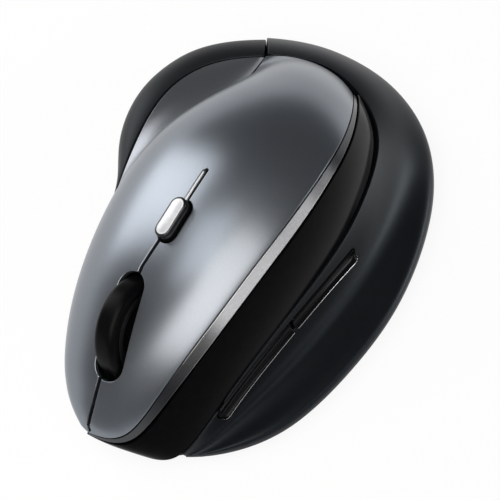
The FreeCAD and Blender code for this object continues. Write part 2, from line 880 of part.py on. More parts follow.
def screw_hole(place):
    head = rod(screw_head_radius + 0.2, Vector(place[0], place[1], 0), z_axis,
               foot_height + screw_head_height + 0.2)
    shank = rod(screw_radius + 0.2, Vector(place[0], place[1], 0), z_axis, tall)
    return head.fuse(shank)


def case_screw(place):
    base = foot_height + 0.2
    head = rod(screw_head_radius, Vector(place[0], place[1], base), z_axis, screw_head_height)
    shank = rod(screw_radius, Vector(place[0], place[1], base), z_axis, screw_length)
    socket = centered_box((place[0], place[1], base), (2.0, 0.5, 1.0))
    cross = centered_box((place[0], place[1], base), (0.5, 2.0, 1.0))
    return head.fuse(shank).cut([socket, cross])


def board_screw(place):
    top = board_top()
    head = rod(screw_head_radius, Vector(place[0], place[1], top), z_axis, screw_head_height)
    shank_low = foot_height + 1.6
    shank = rod(screw_radius, Vector(place[0], place[1], shank_low), z_axis, top - shank_low + 0.2)
    socket = centered_box((place[0], place[1], top + screw_head_height), (2.2, 0.5, 1.0))
    cross = centered_box((place[0], place[1], top + screw_head_height), (0.5, 2.2, 1.0))
    return head.fuse(shank).cut([socket, cross])


def bored_for_screw(shape, place):
    return shape.cut(rod(screw_radius + run_clearance, Vector(place[0], place[1], 0), z_axis,
                         foot_height + screw_length + 1.0))


def feet():
    pads = []
    for x, y, turn in foot_places:
        pad = stadium(foot_length, foot_width, 0.0, foot_height)
        pads.append(placed(pad, Vector(x, y, 0), [(z_axis, turn - 90.0)]))
    return Part.makeCompound(pads)


def power_slot():
    x, y = power_place
    reach = power_travel + 2.4
    slot = box((x - 1.2, y - 1.3, 0), (x - 1.2 + reach, y + 1.3, tall))
    recess = box((x - 2.4, y - 3.2, 0), (x + reach, y + 3.2, foot_height + 0.6))
    return slot.fuse(recess)


# Cells, contacts and receiver

def battery_cells():
    cells = []
    start = bay_front + contact_room
    for k, x in enumerate(cell_places()):
        body = rod(cell_radius, Vector(x, start, cell_height()), y_axis, cell_length)
        tip = rod(cell_tip_radius, Vector(x, start + cell_length, cell_height()), y_axis, cell_tip_length)
        cell = body.fuse(tip)
        if k == 1:
            middle = start + (cell_length + cell_tip_length) / 2.0
            cell.rotate(Vector(x, middle, cell_height()), z_axis, 180)
        cells.append(cell)
    return Part.makeCompound(cells)


def contact_plates():
    plates = []
    size = (cell_radius * 1.6, contact_plate, cell_radius * 1.6)
    for x in cell_places():
        for y in (bay_front + contact_plate / 2.0, bay_front + bay_length() - contact_plate / 2.0):
            plates.append(centered_box((x, y, cell_height()), size))
    return Part.makeCompound(plates)


def contact_springs():
    """The two coil contacts, as the closed cones that they fill when the cells are in."""
    springs = []
    room = contact_room - contact_plate
    left_x, right_x = cell_places()
    front = Vector(left_x, bay_front + contact_plate, cell_height())
    rear = Vector(right_x, bay_front + bay_length() - contact_plate, cell_height())
    springs.append(Part.makeCone(cell_radius * 0.7, cell_radius * 0.4, room, front, y_axis))
    springs.append(Part.makeCone(cell_radius * 0.7, cell_radius * 0.4, room, rear, y_axis * -1.0))
    return Part.makeCompound(springs)


def nano_receiver():
    low, high = receiver_box(0.0)
    cap_length = 6.0
    cap = box(low, (high[0], low[1] + cap_length, high[2]))
    plug = box((low[0] + 1.2, low[1] + cap_length, low[2] + 0.6), (high[0] - 1.2, high[1], high[2] - 0.5))
    hollow = box((low[0] + 1.6, high[1] - 10.0, low[2] + 2.6), (high[0] - 1.6, high[1] + 1.0, high[2] - 0.9))
    return cap.fuse(plug).cut(hollow)


# Boards and switches

def main_board():
    corners = board_outline + [board_outline[0]]
    wire = Part.makePolygon([Vector(x, y, board_bottom()) for x, y in corners])
    board = Part.Face(wire).extrude(z_axis * board_thickness)
    for place in board_screw_places:
        board = board.cut(rod(screw_radius + 0.3, Vector(place[0], place[1], 0), z_axis, tall))
    board = board.cut(rod(lens_radius * 0.6, Vector(sensor_place[0], sensor_place[1], 0), z_axis, tall))
    notch = box((side_board_x - 1.2, rest_front - 0.2, 0),
                (side_board_x + board_thickness + 1.2, side_board_rear, tall))
    return board.cut(notch)


def sensor_chip():
    x, y = sensor_place
    size = sensor_size
    chip = box((x - size[0] / 2, y - size[1] / 2, board_top()),
               (x + size[0] / 2, y + size[1] / 2, board_top() + size[2]))
    eye = rod(1.0, Vector(x, y, board_top() - 1.0), z_axis, 1.8)
    return chip.cut(eye)


def sensor_lens():
    x, y = sensor_place
    low = foot_height + 0.9
    lens = rod(lens_radius, Vector(x, y, low), z_axis, board_bottom() - low)
    dome = Part.makeSphere(lens_radius * 0.8, Vector(x, y, low - lens_radius * 0.45))
    return lens.cut(dome)


def controller_chip():
    x, y = chip_place
    size = chip_size
    return box((x - size[0] / 2, y - size[1] / 2, board_top()),
               (x + size[0] / 2, y + size[1] / 2, board_top() + size[2]))


def micro_switch(place):
    x, y = place
    size = switch_size
    body = box((x - size[0] / 2, y - size[1] / 2, board_top()),
               (x + size[0] / 2, y + size[1] / 2, switch_top()))
    pocket = centered_box((x, y, switch_top()), (plunger_size[0] + 2 * run_clearance,
                                                 plunger_size[1] + 2 * plunger_sweep, 2.4))
    return body.cut(pocket)


def micro_plunger(place):
    low = (place[0] - plunger_size[0] / 2, place[1] - plunger_size[1] / 2, switch_top() - 0.3)
    high = (place[0] + plunger_size[0] / 2, place[1] + plunger_size[1] / 2, switch_top() + plunger_size[2])
    return box(low, high)


def tact_body(spare):
    """A small square switch on the XY plane, with the well of its plunger."""
    body = box((-tact_size / 2, -tact_size / 2, 0), (tact_size / 2, tact_size / 2, tact_height))
    well = rod(tact_plunger_radius + spare, Vector(0, 0, tact_height - 1.2), z_axis, 2.0)
    return body.cut(well)


def tact_plunger():
    return rod(tact_plunger_radius, Vector(0, 0, tact_height - 0.4), z_axis, tact_plunger_height + 0.4)


def on_side_board(shape, switch_place):
    position = Vector(side_board_x + board_thickness, switch_place[0], switch_place[1])
    return placed(shape, position, [(y_axis, 90)])


def on_main_board(shape, place):
    return placed(shape, Vector(place[0], place[1], board_top()), [])


def side_board():
    low_z = board_top() + 1.0 + run_clearance
    corners = [(side_board_front, low_z), (side_board_rear, low_z), (side_board_rear, side_board_top),
               (side_board_front + 14.0, side_board_top), (side_board_front, side_board_top - 8.0),
               (side_board_front, low_z)]
    wire = Part.makePolygon([Vector(side_board_x, y, z) for y, z in corners])
    return Part.Face(wire).extrude(x_axis * board_thickness)


def power_switch():
    x, y = power_place
    low = floor_top() + run_clearance
    body = box((x - 3.0, y - 2.0, low), (x + power_travel + 4.0, y + 2.0, board_bottom()))
    slot = box((x - 1.3, y - 0.9, 0), (x + power_travel + 1.3, y + 0.9, low + 1.4))
    return body.cut(slot)


def power_slider():
    x, y = power_place
    knob = box((x - 1.0, y - 1.1, foot_height - 0.3 + 0.5), (x + 1.0, y + 1.1, floor_top() - 0.3))
    tip = box((x - 0.9, y - 0.7, floor_top() - 0.3), (x + 0.9, y + 0.7, floor_top() + 1.0))
    return knob.fuse(tip)


# Pointer speed button

def mode_button():
    cap = stadium(mode_length, mode_width, -skin_wall - 1.2, mode_height)
    top_edges = [edge for edge in cap.Edges if edge.CenterOfMass.z > mode_height - 1e-6]
    cap = cap.makeFillet(mode_edge, top_edges)
    stem = rod(tact_plunger_radius, Vector(0, 0, mode_tact_top() + touch_gap), z_axis,
               -skin_wall - 1.0 - mode_tact_top())
    return in_mode_frame(cap.fuse(stem))


def mode_tact_top():
    """Top of the switch plunger below the skin, in the button's own frame."""
    return -skin_wall - press_gap - spine_wall - 0.8


def mode_switch_shift():
    return mode_tact_top() - tact_plunger_height - tact_height


def mode_board():
    half_x = 7.0
    half_y = 6.0
    top = mode_switch_shift()
    plate = box((-half_x, -half_y, top - 1.0), (half_x, half_y, top))
    return in_mode_frame(plate)


def center_spine():
    """The dark rib behind the wheel: it closes the slot from below and carries the small board."""
    near = skin_wall + press_gap
    middle = seam_x(spine_front)
    low_x = middle - spine_width / 2
    high_x = middle + spine_width / 2
    zone = box((low_x, spine_front, 0), (high_x, spine_rear, tall))
    strip = panel(top_net(), near, near + spine_wall).common(zone)
    seat_zone = box((low_x, hinge_y + 2.0, 0), (high_x, spine_rear, tall))
    seat = panel(top_net(), skin_wall + touch_gap, near + spine_wall * 0.5).common(seat_zone)
    strip = strip.fuse(seat)
    hole = stadium(mode_length + 1.2, mode_width + 1.2, -9.0, 4.0)
    strip = strip.cut(in_mode_frame(hole))
    posts = []
    for x in (-5.6, 5.6):
        post = rod(1.2, Vector(x, 0, mode_switch_shift()), z_axis,
                   -near - mode_switch_shift() - spine_wall * 0.5)
        posts.append(in_mode_frame(post))
    return largest(strip.fuse(posts))


# Scroll wheel and its rocking carrier, in the wheel's frame: X is the axle, Z leans with the wheel

def half_cheek():
    return tyre_width / 2.0 + cheek_gap


def wheel_tyre():
    outer = rod(wheel_radius, Vector(-tyre_width / 2, 0, 0), x_axis, tyre_width)
    crown_edges = [edge for edge in outer.Edges if abs(edge.Length - 2 * math.pi * wheel_radius) < 0.1]
    outer = outer.makeFillet(tyre_crown, crown_edges)
    bore = rod(wheel_radius - tyre_thickness, Vector(-tyre_width, 0, 0), x_axis, tyre_width * 2)
    return in_wheel_frame(outer.cut(bore))


def wheel_hub():
    rim_radius = wheel_radius - tyre_thickness
    hub = rod(rim_radius, Vector(-tyre_width / 2, 0, 0), x_axis, tyre_width)
    for x in (-tyre_width / 2 - hub_recess, tyre_width / 2 - hub_recess):
        recess = rod(rim_radius - hub_rim, Vector(x, 0, 0), x_axis, 2 * hub_recess)
        collar = rod(axle_radius + hub_collar, Vector(x - hub_recess, 0, 0), x_axis, 4 * hub_recess)
        recess = recess.cut(collar)
        hub = hub.cut(recess)
    return in_wheel_frame(hub.cut(rod(axle_radius, Vector(-tall / 2, 0, 0), x_axis, tall)))


def axle_end():
    return half_cheek() + cheek_wall + axle_spare


def wheel_axle():
    length = axle_end() + encoder_start() + rotor_length
    return in_wheel_frame(rod(axle_radius, Vector(-axle_end(), 0, 0), x_axis, length))


def encoder_start():
    return half_cheek() + cheek_wall + rotor_gap


def encoder_body():
    low = half_cheek() + cheek_wall
    shell = box((low, -encoder_half, encoder_low), (low + encoder_length, encoder_half, encoder_high))
    well_start = Vector(low - rotor_gap, 0, 0)
    well = rod(rotor_radius + 2 * run_clearance, well_start, x_axis, rotor_length + 3 * rotor_gap)
    return in_wheel_frame(shell.cut(well))


def encoder_rotor():
    rotor = rod(rotor_radius, Vector(encoder_start(), 0, 0), x_axis, rotor_length)
    return in_wheel_frame(rotor.cut(rod(axle_radius, Vector(0, 0, 0), x_axis, tall)))


def wheel_carrier():
    """Two cheeks joined below and behind the wheel, with a front arm over the click switch."""
    inner = half_cheek()
    outer = inner + cheek_wall
    cheeks = []
    for side in (-1, 1):
        low = min(side * inner, side * outer)
        rear = pivot_back + cheek_rear
        cheek = box((low, -cheek_front, -pivot_drop - cheek_low), (low + cheek_wall, rear, cheek_top))
        arm = box((low, -arm_reach, arm_low), (low + cheek_wall, rear, arm_high))
        cheeks.append(cheek.fuse(arm))
    bar_low = -pivot_drop + rear_bar_rise
    rear_bar = box((-outer, pivot_back - cheek_wall, bar_low), (outer, rear, bar_low + bar_height))
    front_bar = box((-outer, -arm_reach, arm_low), (outer, -arm_reach + bar_depth, arm_high))
    body = cheeks[0].fuse([cheeks[1], rear_bar, front_bar])
    body = body.cut(rod(axle_radius + run_clearance, Vector(-tall / 2, 0, 0), x_axis, tall))
    pivot = Vector(-tall / 2, pivot_back, -pivot_drop)
    body = body.cut(rod(pivot_radius + run_clearance, pivot, x_axis, tall))
    body = in_wheel_frame(body.removeSplitter())
    x, y = wheel_switch_place
    foot_z = board_top() + tact_height + tact_plunger_height + touch_gap
    foot = rod(tact_plunger_radius * 0.8, Vector(x, y, foot_z), z_axis, click_foot_height)
    return body.fuse(foot)


def ear_face():
    return half_cheek() + cheek_wall + ear_gap


def pivot_half():
    return ear_face() + ear_wall


def wheel_pivot_pin():
    pin = rod(pivot_radius, Vector(-pivot_half(), pivot_back, -pivot_drop), x_axis, 2 * pivot_half())
    return in_wheel_frame(pin)


def wheel_bracket():
    """Two ears on the board that hold the carrier's pivot pin."""
    inner = ear_face()
    outer = pivot_half()
    bridge_top = -pivot_drop - bridge_drop
    bridge_front = pivot_back + bridge_start
    ears = []
    for side in (-1, 1):
        low = min(side * inner, side * outer)
        high = low + ear_wall
        ear_rear = pivot_back + ear_half
        ear = box((low, pivot_back - ear_half, -tall / 2), (high, ear_rear, -pivot_drop + cheek_low))
        web = box((low, bridge_front, -tall / 2), (high, bridge_front + bridge_wall, bridge_top))
        ears.append(ear.fuse(web))
    bridge_rear = bridge_front + ear_gap + bridge_wall
    bridge = box((-outer, bridge_front + ear_gap, -tall / 2), (outer, bridge_rear, bridge_top))
    body = ears[0].fuse([ears[1], bridge])
    body = body.cut(rod(pivot_radius, Vector(-tall / 2, pivot_back, -pivot_drop), x_axis, tall))
    body = in_wheel_frame(body.removeSplitter())
    return largest(body.common(box((-tall, -tall, board_top()), (tall, tall, tall))))


def export(name, shape):
    shape = placed(shape, origin_shift, [])
    shape.exportStep("parts/" + name + ".step")
    solids = len(shape.Solids)
    print("%-24s solids %2d  volume %9.1f  valid %s" % (name, solids, shape.Volume, shape.isValid()))


def main():
    os.makedirs("parts", exist_ok=True)
    opened = opened_top()
    left, right = finger_buttons(opened)
    front_trim, rear_trim = trim_pieces()
    export("left_button", left)
    export("right_button", right)
    export("palm_cover", palm_cover(opened))
    export("button_trim", front_trim)
    export("palm_trim", rear_trim)
    export("gloss_band", gloss_band())
    export("thumb_wing", thumb_wing())
    export("pinky_rim", pinky_rim())
    export("pinky_flare", pinky_flare())
    split = side_split_gap / 2.0
    export("forward_button", side_button(-tall, side_split_y - split, forward_switch_place))
    export("back_button", side_button(side_split_y + split, tall, back_switch_place))
    export("bottom_case", bottom_case())
    export("battery_door", battery_door())
    export("feet", feet())
    case_places = [rim_screw_place] + wing_screw_places
    export("case_screws", Part.makeCompound([case_screw(place) for place in case_places]))
    export("board_screws", Part.makeCompound([board_screw(place) for place in board_screw_places]))
    export("battery_cells", battery_cells())
    export("contact_plates", contact_plates())
    export("contact_springs", contact_springs())
    export("nano_receiver", nano_receiver())
    export("main_board", main_board())
    export("sensor_chip", sensor_chip())
    export("sensor_lens", sensor_lens())
    export("controller_chip", controller_chip())
    export("left_switch", micro_switch(left_switch_place))
    export("right_switch", micro_switch(right_switch_place))
    export("left_switch_plunger", micro_plunger(left_switch_place))
    export("right_switch_plunger", micro_plunger(right_switch_place))
    export("side_board", side_board())
    export("forward_switch", on_side_board(tact_body(run_clearance), forward_switch_place))
    export("back_switch", on_side_board(tact_body(run_clearance), back_switch_place))
    export("forward_switch_plunger", on_side_board(tact_plunger(), forward_switch_place))
    export("back_switch_plunger", on_side_board(tact_plunger(), back_switch_place))
    export("power_switch", power_switch())
    export("power_slider", power_slider())
    export("mode_button", mode_button())
    export("mode_board", mode_board())
    lift = Vector(0, 0, mode_switch_shift())
    export("mode_switch", in_mode_frame(placed(tact_body(run_clearance), lift, [])))
    export("mode_switch_plunger", in_mode_frame(placed(tact_plunger(), lift, [])))
    export("center_spine", center_spine())
    export("wheel_switch", on_main_board(tact_body(wheel_well_spare), wheel_switch_place))
    export("wheel_switch_plunger", on_main_board(tact_plunger(), wheel_switch_place))
    export("wheel_tyre", wheel_tyre())
    export("wheel_hub", wheel_hub())
    export("wheel_axle", wheel_axle())
    export("encoder_body", encoder_body())
    export("encoder_rotor", encoder_rotor())
    export("wheel_carrier", wheel_carrier())
    export("wheel_pivot_pin", wheel_pivot_pin())
    export("wheel_bracket", wheel_bracket())


main()
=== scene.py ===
import bpy
import math
import numpy as np
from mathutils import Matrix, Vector
from mathutils.geometry import delaunay_2d_cdt


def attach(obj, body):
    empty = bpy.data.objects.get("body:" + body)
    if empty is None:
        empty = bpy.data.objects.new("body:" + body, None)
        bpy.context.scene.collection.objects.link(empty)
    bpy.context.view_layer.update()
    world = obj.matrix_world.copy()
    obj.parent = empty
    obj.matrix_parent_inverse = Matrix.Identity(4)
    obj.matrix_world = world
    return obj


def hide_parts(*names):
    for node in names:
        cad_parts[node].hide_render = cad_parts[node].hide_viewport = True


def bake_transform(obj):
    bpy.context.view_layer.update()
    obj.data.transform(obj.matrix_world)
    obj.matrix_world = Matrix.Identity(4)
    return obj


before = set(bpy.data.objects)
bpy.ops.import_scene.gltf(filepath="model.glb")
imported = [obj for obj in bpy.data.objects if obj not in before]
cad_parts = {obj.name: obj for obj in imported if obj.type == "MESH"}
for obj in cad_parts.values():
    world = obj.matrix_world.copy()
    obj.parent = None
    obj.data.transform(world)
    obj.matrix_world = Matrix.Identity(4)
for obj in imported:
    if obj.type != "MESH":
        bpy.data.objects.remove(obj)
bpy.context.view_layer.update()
to_metres = 0.001

# The skin's control nets, in millimetres, the same as in the part's source
parting_z = 4.2
band_bulge = 0.9
flare_hollow = 1.6
rim_shoulder = 4.6
wing_roll = 2.8
lip_share = 0.4
origin_shift = np.array([2.05, -0.05, 0.0])
core_point = np.array([0.0, -4.0, 6.0])

top_low = [(-5.0, -60.2, 9.0), (-7.7, -58.6, 9.0), (-11.3, -56.0, 9.2), (-14.3, -52.6, 9.5),
           (-17.4, -48.5, 10.0), (-22.4, -38.5, 11.0), (-26.1, -27.0, 12.5), (-28.6, -14.0, 14.3),
           (-29.4, -2.0, 16.0), (-28.8, 8.2, 17.5), (-25.2, 17.9, 18.4), (-20.0, 27.8, 18.6),
           (-18.2, 38.0, 18.2), (-19.0, 44.8, 17.2)]
top_shoulder = [(-4.6, -60.5, 9.6), (-7.0, -59.8, 11.6), (-10.6, -57.9, 13.5), (-14.3, -54.6, 15.5),
                (-18.5, -50.4, 18.0), (-24.4, -40.0, 23.0), (-28.4, -27.5, 27.5), (-30.6, -14.0, 31.5),
                (-30.8, -1.0, 34.0), (-29.2, 10.7, 34.6), (-25.0, 22.4, 32.8), (-19.8, 33.3, 29.0),
                (-16.0, 43.5, 23.8), (-12.5, 49.5, 17.6)]
top_crest = [(-4.0, -60.8, 9.8), (-2.5, -61.0, 12.2), (-0.5, -59.8, 15.0), (1.0, -57.0, 19.5),
             (1.7, -53.0, 24.5), (1.8, -45.0, 32.5), (2.5, -33.5, 41.3), (3.0, -20.0, 47.0),
             (3.0, -6.0, 50.0), (2.0, 8.0, 50.0), (0.5, 21.0, 46.0), (-1.0, 33.0, 39.5),
             (-2.0, 43.0, 30.5), (-1.5, 50.0, 19.0)]
trim_in = [(-3.4, -61.0, 9.9), (0.4, -61.0, 10.9), (3.9, -60.2, 11.9), (6.5, -58.1, 14.0),
           (8.4, -55.0, 17.9), (11.0, -46.5, 27.1), (14.3, -34.0, 36.2), (16.4, -20.0, 41.4),
           (17.9, -6.0, 44.2), (18.1, 7.0, 44.3), (16.6, 19.0, 40.6), (13.3, 30.0, 34.2),
           (9.3, 38.5, 27.5), (6.0, 44.2, 20.0)]
trim_out = [(-3.5, -61.0, 9.1), (0.3, -61.2, 9.9), (4.1, -60.6, 10.7), (7.5, -58.6, 12.2),
            (9.9, -55.5, 16.2), (13.0, -47.0, 25.0), (16.5, -34.5, 34.3), (18.7, -20.0, 39.7),
            (20.2, -6.0, 42.6), (20.0, 7.0, 42.8), (18.2, 19.0, 39.4), (14.4, 30.2, 33.4),
            (10.0, 39.0, 26.8), (6.5, 44.7, 19.2)]

# Lower edge of the gloss band: round the nose, then along the ridge above the thumb rest
ridge = [(-5.0, -57.4, 4.8), (0.0, -58.0, 4.7), (6.0, -57.9, 4.6), (12.4, -57.2, 4.4),
         (17.5, -54.5, 5.0), (19.4, -47.5, 10.5), (21.6, -36.5, 17.5), (23.8, -22.5, 22.6),
         (25.2, -7.5, 25.0), (25.3, 6.5, 25.2), (23.3, 19.0, 24.2), (20.2, 30.0, 22.4),
         (15.4, 39.0, 20.3), (6.8, 45.4, 18.2)]

# Thumb rest: inner edge under the ridge and round the heel, outer edge at the parting plane,
# and how deep the thumb scoop is at each station (1 is the full scoop, 0 the rounded heel)
wing_in = [(17.3, -53.3, 6.2), (19.1, -50.6, 8.2), (20.6, -42.5, 13.8), (22.6, -30.0, 20.0),
           (24.6, -17.0, 23.6), (25.9, -3.0, 25.0), (25.8, 8.0, 25.0), (23.9, 19.0, 23.9),
           (21.0, 29.5, 22.2), (16.7, 38.2, 20.4), (9.6, 45.0, 18.7), (0.2, 50.1, 17.6),
           (-10.0, 50.4, 16.9), (-19.2, 46.2, 16.2)]
wing_edge = [(17.6, -52.8), (23.0, -49.8), (31.7, -41.2), (36.9, -28.6), (39.6, -13.9),
             (41.0, 1.1), (39.8, 15.4), (36.6, 29.4), (31.7, 41.8), (23.2, 52.9),
             (10.3, 59.9), (-4.0, 61.6), (-16.2, 59.8), (-25.0, 55.6)]
scoop = [0.2, 0.6, 1.0, 1.0, 1.0, 1.0, 0.9, 0.7, 0.45, 0.2, 0.05, 0.0, 0.0, 0.0]

# Pinky side: inner edge of the rubber rim and its outer edge at the parting plane
rim_in = [(-4.5, -58.0, 6.0), (-7.5, -56.6, 6.0), (-11.0, -54.0, 6.0), (-14.5, -50.5, 6.1),
          (-18.0, -46.0, 6.3), (-22.5, -37.0, 7.0), (-26.3, -26.0, 8.0), (-29.5, -13.5, 9.3),
          (-32.8, -1.3, 10.8), (-35.4, 10.8, 12.2), (-36.7, 22.4, 13.0), (-34.8, 33.0, 13.6),
          (-28.3, 41.0, 14.5), (-19.7, 45.1, 16.0)]
rim_edge = [(-5.3, -57.4), (-8.5, -55.6), (-11.8, -53.0), (-15.3, -49.0), (-18.9, -44.7),
            (-23.0, -35.4), (-26.6, -24.7), (-29.9, -12.0), (-34.2, 0.7), (-41.5, 10.3),
            (-45.2, 22.9), (-44.0, 36.0), (-37.5, 48.5), (-25.2, 55.6)]

# Share of the way out and down from the inner to the outer edge of the thumb rest
scoop_out = (0.05, 0.22, 0.72)
scoop_down = (0.55, 0.88, 0.87)
heel_out = (0.35, 0.72, 0.98)
heel_down = (0.12, 0.38, 0.66)

# Openings and moving pieces, in millimetres
seam_points = [(-5.7, -4.0), (-5.8, -13.5), (-7.4, -29.0), (-4.8, -51.5), (-2.8, -62.5)]
seam_width = 0.8
slot_extra = 0.4
slot_wide_end = -12.4
slot_ramp = 1.5
wheel_tilt = 22.0
wheel_center = (-3.6, -37.7, 21.8)
wheel_radius = 12.5
tyre_width = 6.2
tyre_thickness = 2.4
wheel_slot_length = 25.6
wheel_slot_width = 7.8
wheel_slot_rise = 33.0
mode_center = (-5.7, -17.6)
mode_length = 10.4
mode_width = 4.4
mode_height = 2.4
mode_gap = 0.45
mode_tilt = 22.0
mode_slope = 14.0
mode_turn = -7.0
slot_points = [(-40.8, 11.2), (-18.0, 17.7), (6.5, 15.6)]
slot_height = 4.4
side_split_y = -17.0
side_split_gap = 0.9
side_clearance = 0.3


# Patches of the skin

def row(points):
    return np.array([list(p) + ([parting_z] if len(p) == 2 else []) for p in points], float)


def unit(v):
    return v / np.maximum(np.linalg.norm(v, axis=-1, keepdims=True), 1e-9)


def row_normals(rows):
    """Inward unit normals at the control points of a net of rows."""
    net = np.array(rows)
    across = np.empty_like(net)
    along = np.empty_like(net)
    across[1:-1] = net[2:] - net[:-2]
    across[0] = net[1] - net[0]
    across[-1] = net[-1] - net[-2]
    along[:, 1:-1] = net[:, 2:] - net[:, :-2]
    along[:, 0] = net[:, 1] - net[:, 0]
    along[:, -1] = net[:, -1] - net[:, -2]
    normals = unit(np.cross(across, along))
    total = np.einsum("ijk,ijk->", normals, core_point - net)
    return normals if total > 0 else -normals


def basis(count, degree, at):
    """Values of the clamped uniform B-spline basis at the places given."""
    knots = np.concatenate([np.zeros(degree), np.linspace(0, 1, count - degree + 1), np.ones(degree)])
    at = np.clip(at, 0.0, 1.0 - 1e-9)
    values = np.zeros((len(at), count + degree))
    for i in range(count + degree):
        values[:, i] = (knots[i] <= at) & (at < knots[i + 1])
    for d in range(1, degree + 1):
        raised = np.zeros_like(values)
        for i in range(count + degree - d):
            if knots[i + d] > knots[i]:
                raised[:, i] += (at - knots[i]) / (knots[i + d] - knots[i]) * values[:, i]
            if knots[i + d + 1] > knots[i + 1]:
                raised[:, i] += (knots[i + d + 1] - at) / (knots[i + d + 1] - knots[i + 1]) * values[:, i + 1]
        values = raised
    return values[:, :count]


class Patch:
    """A smooth surface over a control net; u runs across it and t from the nose to the heel."""

    def __init__(self, rows):
        self.net = np.array(rows, float) + origin_shift
        self.rows, self.stations = self.net.shape[:2]
        self.sign = 1.0
        probe = np.array([(0.5, 0.3), (0.5, 0.5), (0.5, 0.7)])
        point, normal = self.frames(probe)[:2]
        if np.sum(normal * (point - core_point)) < 0:
            self.sign = -1.0

    def points(self, at):
        across = basis(self.rows, min(3, self.rows - 1), at[:, 0])
        along = basis(self.stations, min(3, self.stations - 1), at[:, 1])
        return np.einsum("pi,pj,ijk->pk", across, along, self.net)

    def frames(self, at):
        """Points, outward normals and the two derivatives."""
        step = 1e-4
        sides = []
        for axis in (0, 1):
            shift = np.zeros(2)
            shift[axis] = step
            low = np.clip(at - shift, 0.0, 1.0)
            high = np.clip(at + shift, 0.0, 1.0)
            sides.append((self.points(high) - self.points(low)) / (high - low)[:, axis:axis + 1])
        normal = unit(np.cross(sides[0], sides[1])) * self.sign
        return self.points(at), normal, sides[0], sides[1]

    def meet(self, starts, direction):
        """Where lines from the starts along one direction meet the patch."""
        lattice = np.array([(u, t) for u in np.linspace(0.02, 0.98, 25) for t in np.linspace(0.01, 0.99, 70)])
        points = self.points(lattice)
        direction = np.asarray(direction, float) / np.linalg.norm(direction)
        starts = np.asarray(starts, float)
        away = points[None] - starts[:, None]
        reach = away @ direction
        off = np.linalg.norm(away - reach[..., None] * direction, axis=2)
        best = np.argmin(off, axis=1)
        at = lattice[best]
        distance = reach[np.arange(len(starts)), best]
        for turn in range(12):
            point, normal, across, along = self.frames(at)
            miss = point - starts - distance[:, None] * direction
            system = np.stack([across, along, np.broadcast_to(-direction, across.shape)], axis=2)
            step = np.linalg.solve(system, -miss[..., None])[..., 0]
            at = np.clip(at + np.clip(step[:, :2], -0.1, 0.1), 0.0, 1.0)
            distance = distance + step[:, 2]
        return at


def top_rows():
    return [row(top_low), row(top_shoulder), row(top_crest), row(trim_in)]


def band_rows():
    high = row(trim_out)
    low = row(ridge)
    crown = row_normals([high, low])[0] * -band_bulge
    return [high, high * 2 / 3 + low / 3 + crown, high / 3 + low * 2 / 3 + crown, low]


def flare_rows():
    high = row(top_low)
    low = row(rim_in)
    width = np.linalg.norm(high - low, axis=1, keepdims=True)
    hollow = row_normals([high, low])[0] * flare_hollow * np.minimum(1.0, width / 14.0)
    return [high, high * 2 / 3 + low / 3 + hollow, high / 3 + low * 2 / 3 + hollow, low]


def rim_rows():
    inner = row(rim_in)
    outer = row(rim_edge)
    reach = (outer - inner) * [1, 1, 0]
    drop = (inner - outer)[:, 2:3]
    up = np.array([0.0, 0.0, 1.0])
    return [inner, inner + reach * 0.5 - up * drop * 0.06,
            outer + up * np.minimum(rim_shoulder, drop * 0.8), outer]


def wing_rows():
    inner = row(wing_in)
    outer = row(wing_edge)
    share = np.array(scoop)[:, None]
    reach = (outer - inner) * [1, 1, 0]
    drop = (inner - outer)[:, 2:3]
    up = np.array([0.0, 0.0, 1.0])
    middle = []
    for k in range(3):
        out = scoop_out[k] * share + heel_out[k] * (1 - share)
        down = scoop_down[k] * share + heel_down[k] * (1 - share)
        middle.append(inner + reach * out - up * drop * down)
    shoulder = outer + up * np.minimum(wing_roll, drop * lip_share)
    middle[2][:, 2] = np.maximum(middle[2][:, 2], shoulder[:, 2])
    return [inner] + middle + [shoulder, outer]


# Triangulated skins with rolled edges

def inside(points, outline):
    """Which points lie in a closed outline, by counting crossings."""
    result = np.zeros(len(points), bool)
    x, y = points[:, 0], points[:, 1]
    for (ax, ay), (bx, by) in zip(outline, np.roll(outline, -1, axis=0)):
        crosses = (ay > y) != (by > y)
        if by != ay:
            result ^= crosses & (x < (bx - ax) * (y - ay) / (by - ay) + ax)
    return result


def resampled(line, spacing, closed):
    """Points along a line at about even steps, its corners kept."""
    line = np.asarray(line, float)
    if closed:
        line = np.vstack([line, line[:1]])
    result = []
    for a, b in zip(line[:-1], line[1:]):
        steps = max(1, int(math.ceil(np.linalg.norm(b - a) / spacing)))
        for k in range(steps):
            result.append(a + (b - a) * k / steps)
    if not closed:
        result.append(line[-1])
    return np.array(result)


def patch_outline(patch, margins, steps=240):
    """The patch's own border, drawn in by a margin in millimetres at each of its four sides."""
    along = np.linspace(0.0, 1.0, steps)
    edge = np.zeros(steps)
    across_low = np.linalg.norm(patch.frames(np.stack([edge, along], 1))[2], axis=1)
    across_high = np.linalg.norm(patch.frames(np.stack([edge + 1, along], 1))[2], axis=1)
    start = margins[2] / np.linalg.norm(patch.frames(np.array([[0.5, 0.0]]))[3])
    end = 1.0 - margins[3] / np.linalg.norm(patch.frames(np.array([[0.5, 1.0]]))[3])
    keep = np.clip(along, start, end)
    low = np.minimum(margins[0] / np.maximum(across_low, 1e-6), 0.45)
    high = 1.0 - np.minimum(margins[1] / np.maximum(across_high, 1e-6), 0.45)
    near = np.stack([low, keep], 1)
    far = np.stack([high, keep], 1)[::-1]
    front = np.stack([np.linspace(far[-1][0], near[0][0], 30)[1:-1], np.full(28, start)], 1)
    rear = np.stack([np.linspace(near[-1][0], far[0][0], 30)[1:-1], np.full(28, end)], 1)
    return np.vstack([near, rear, far, front])


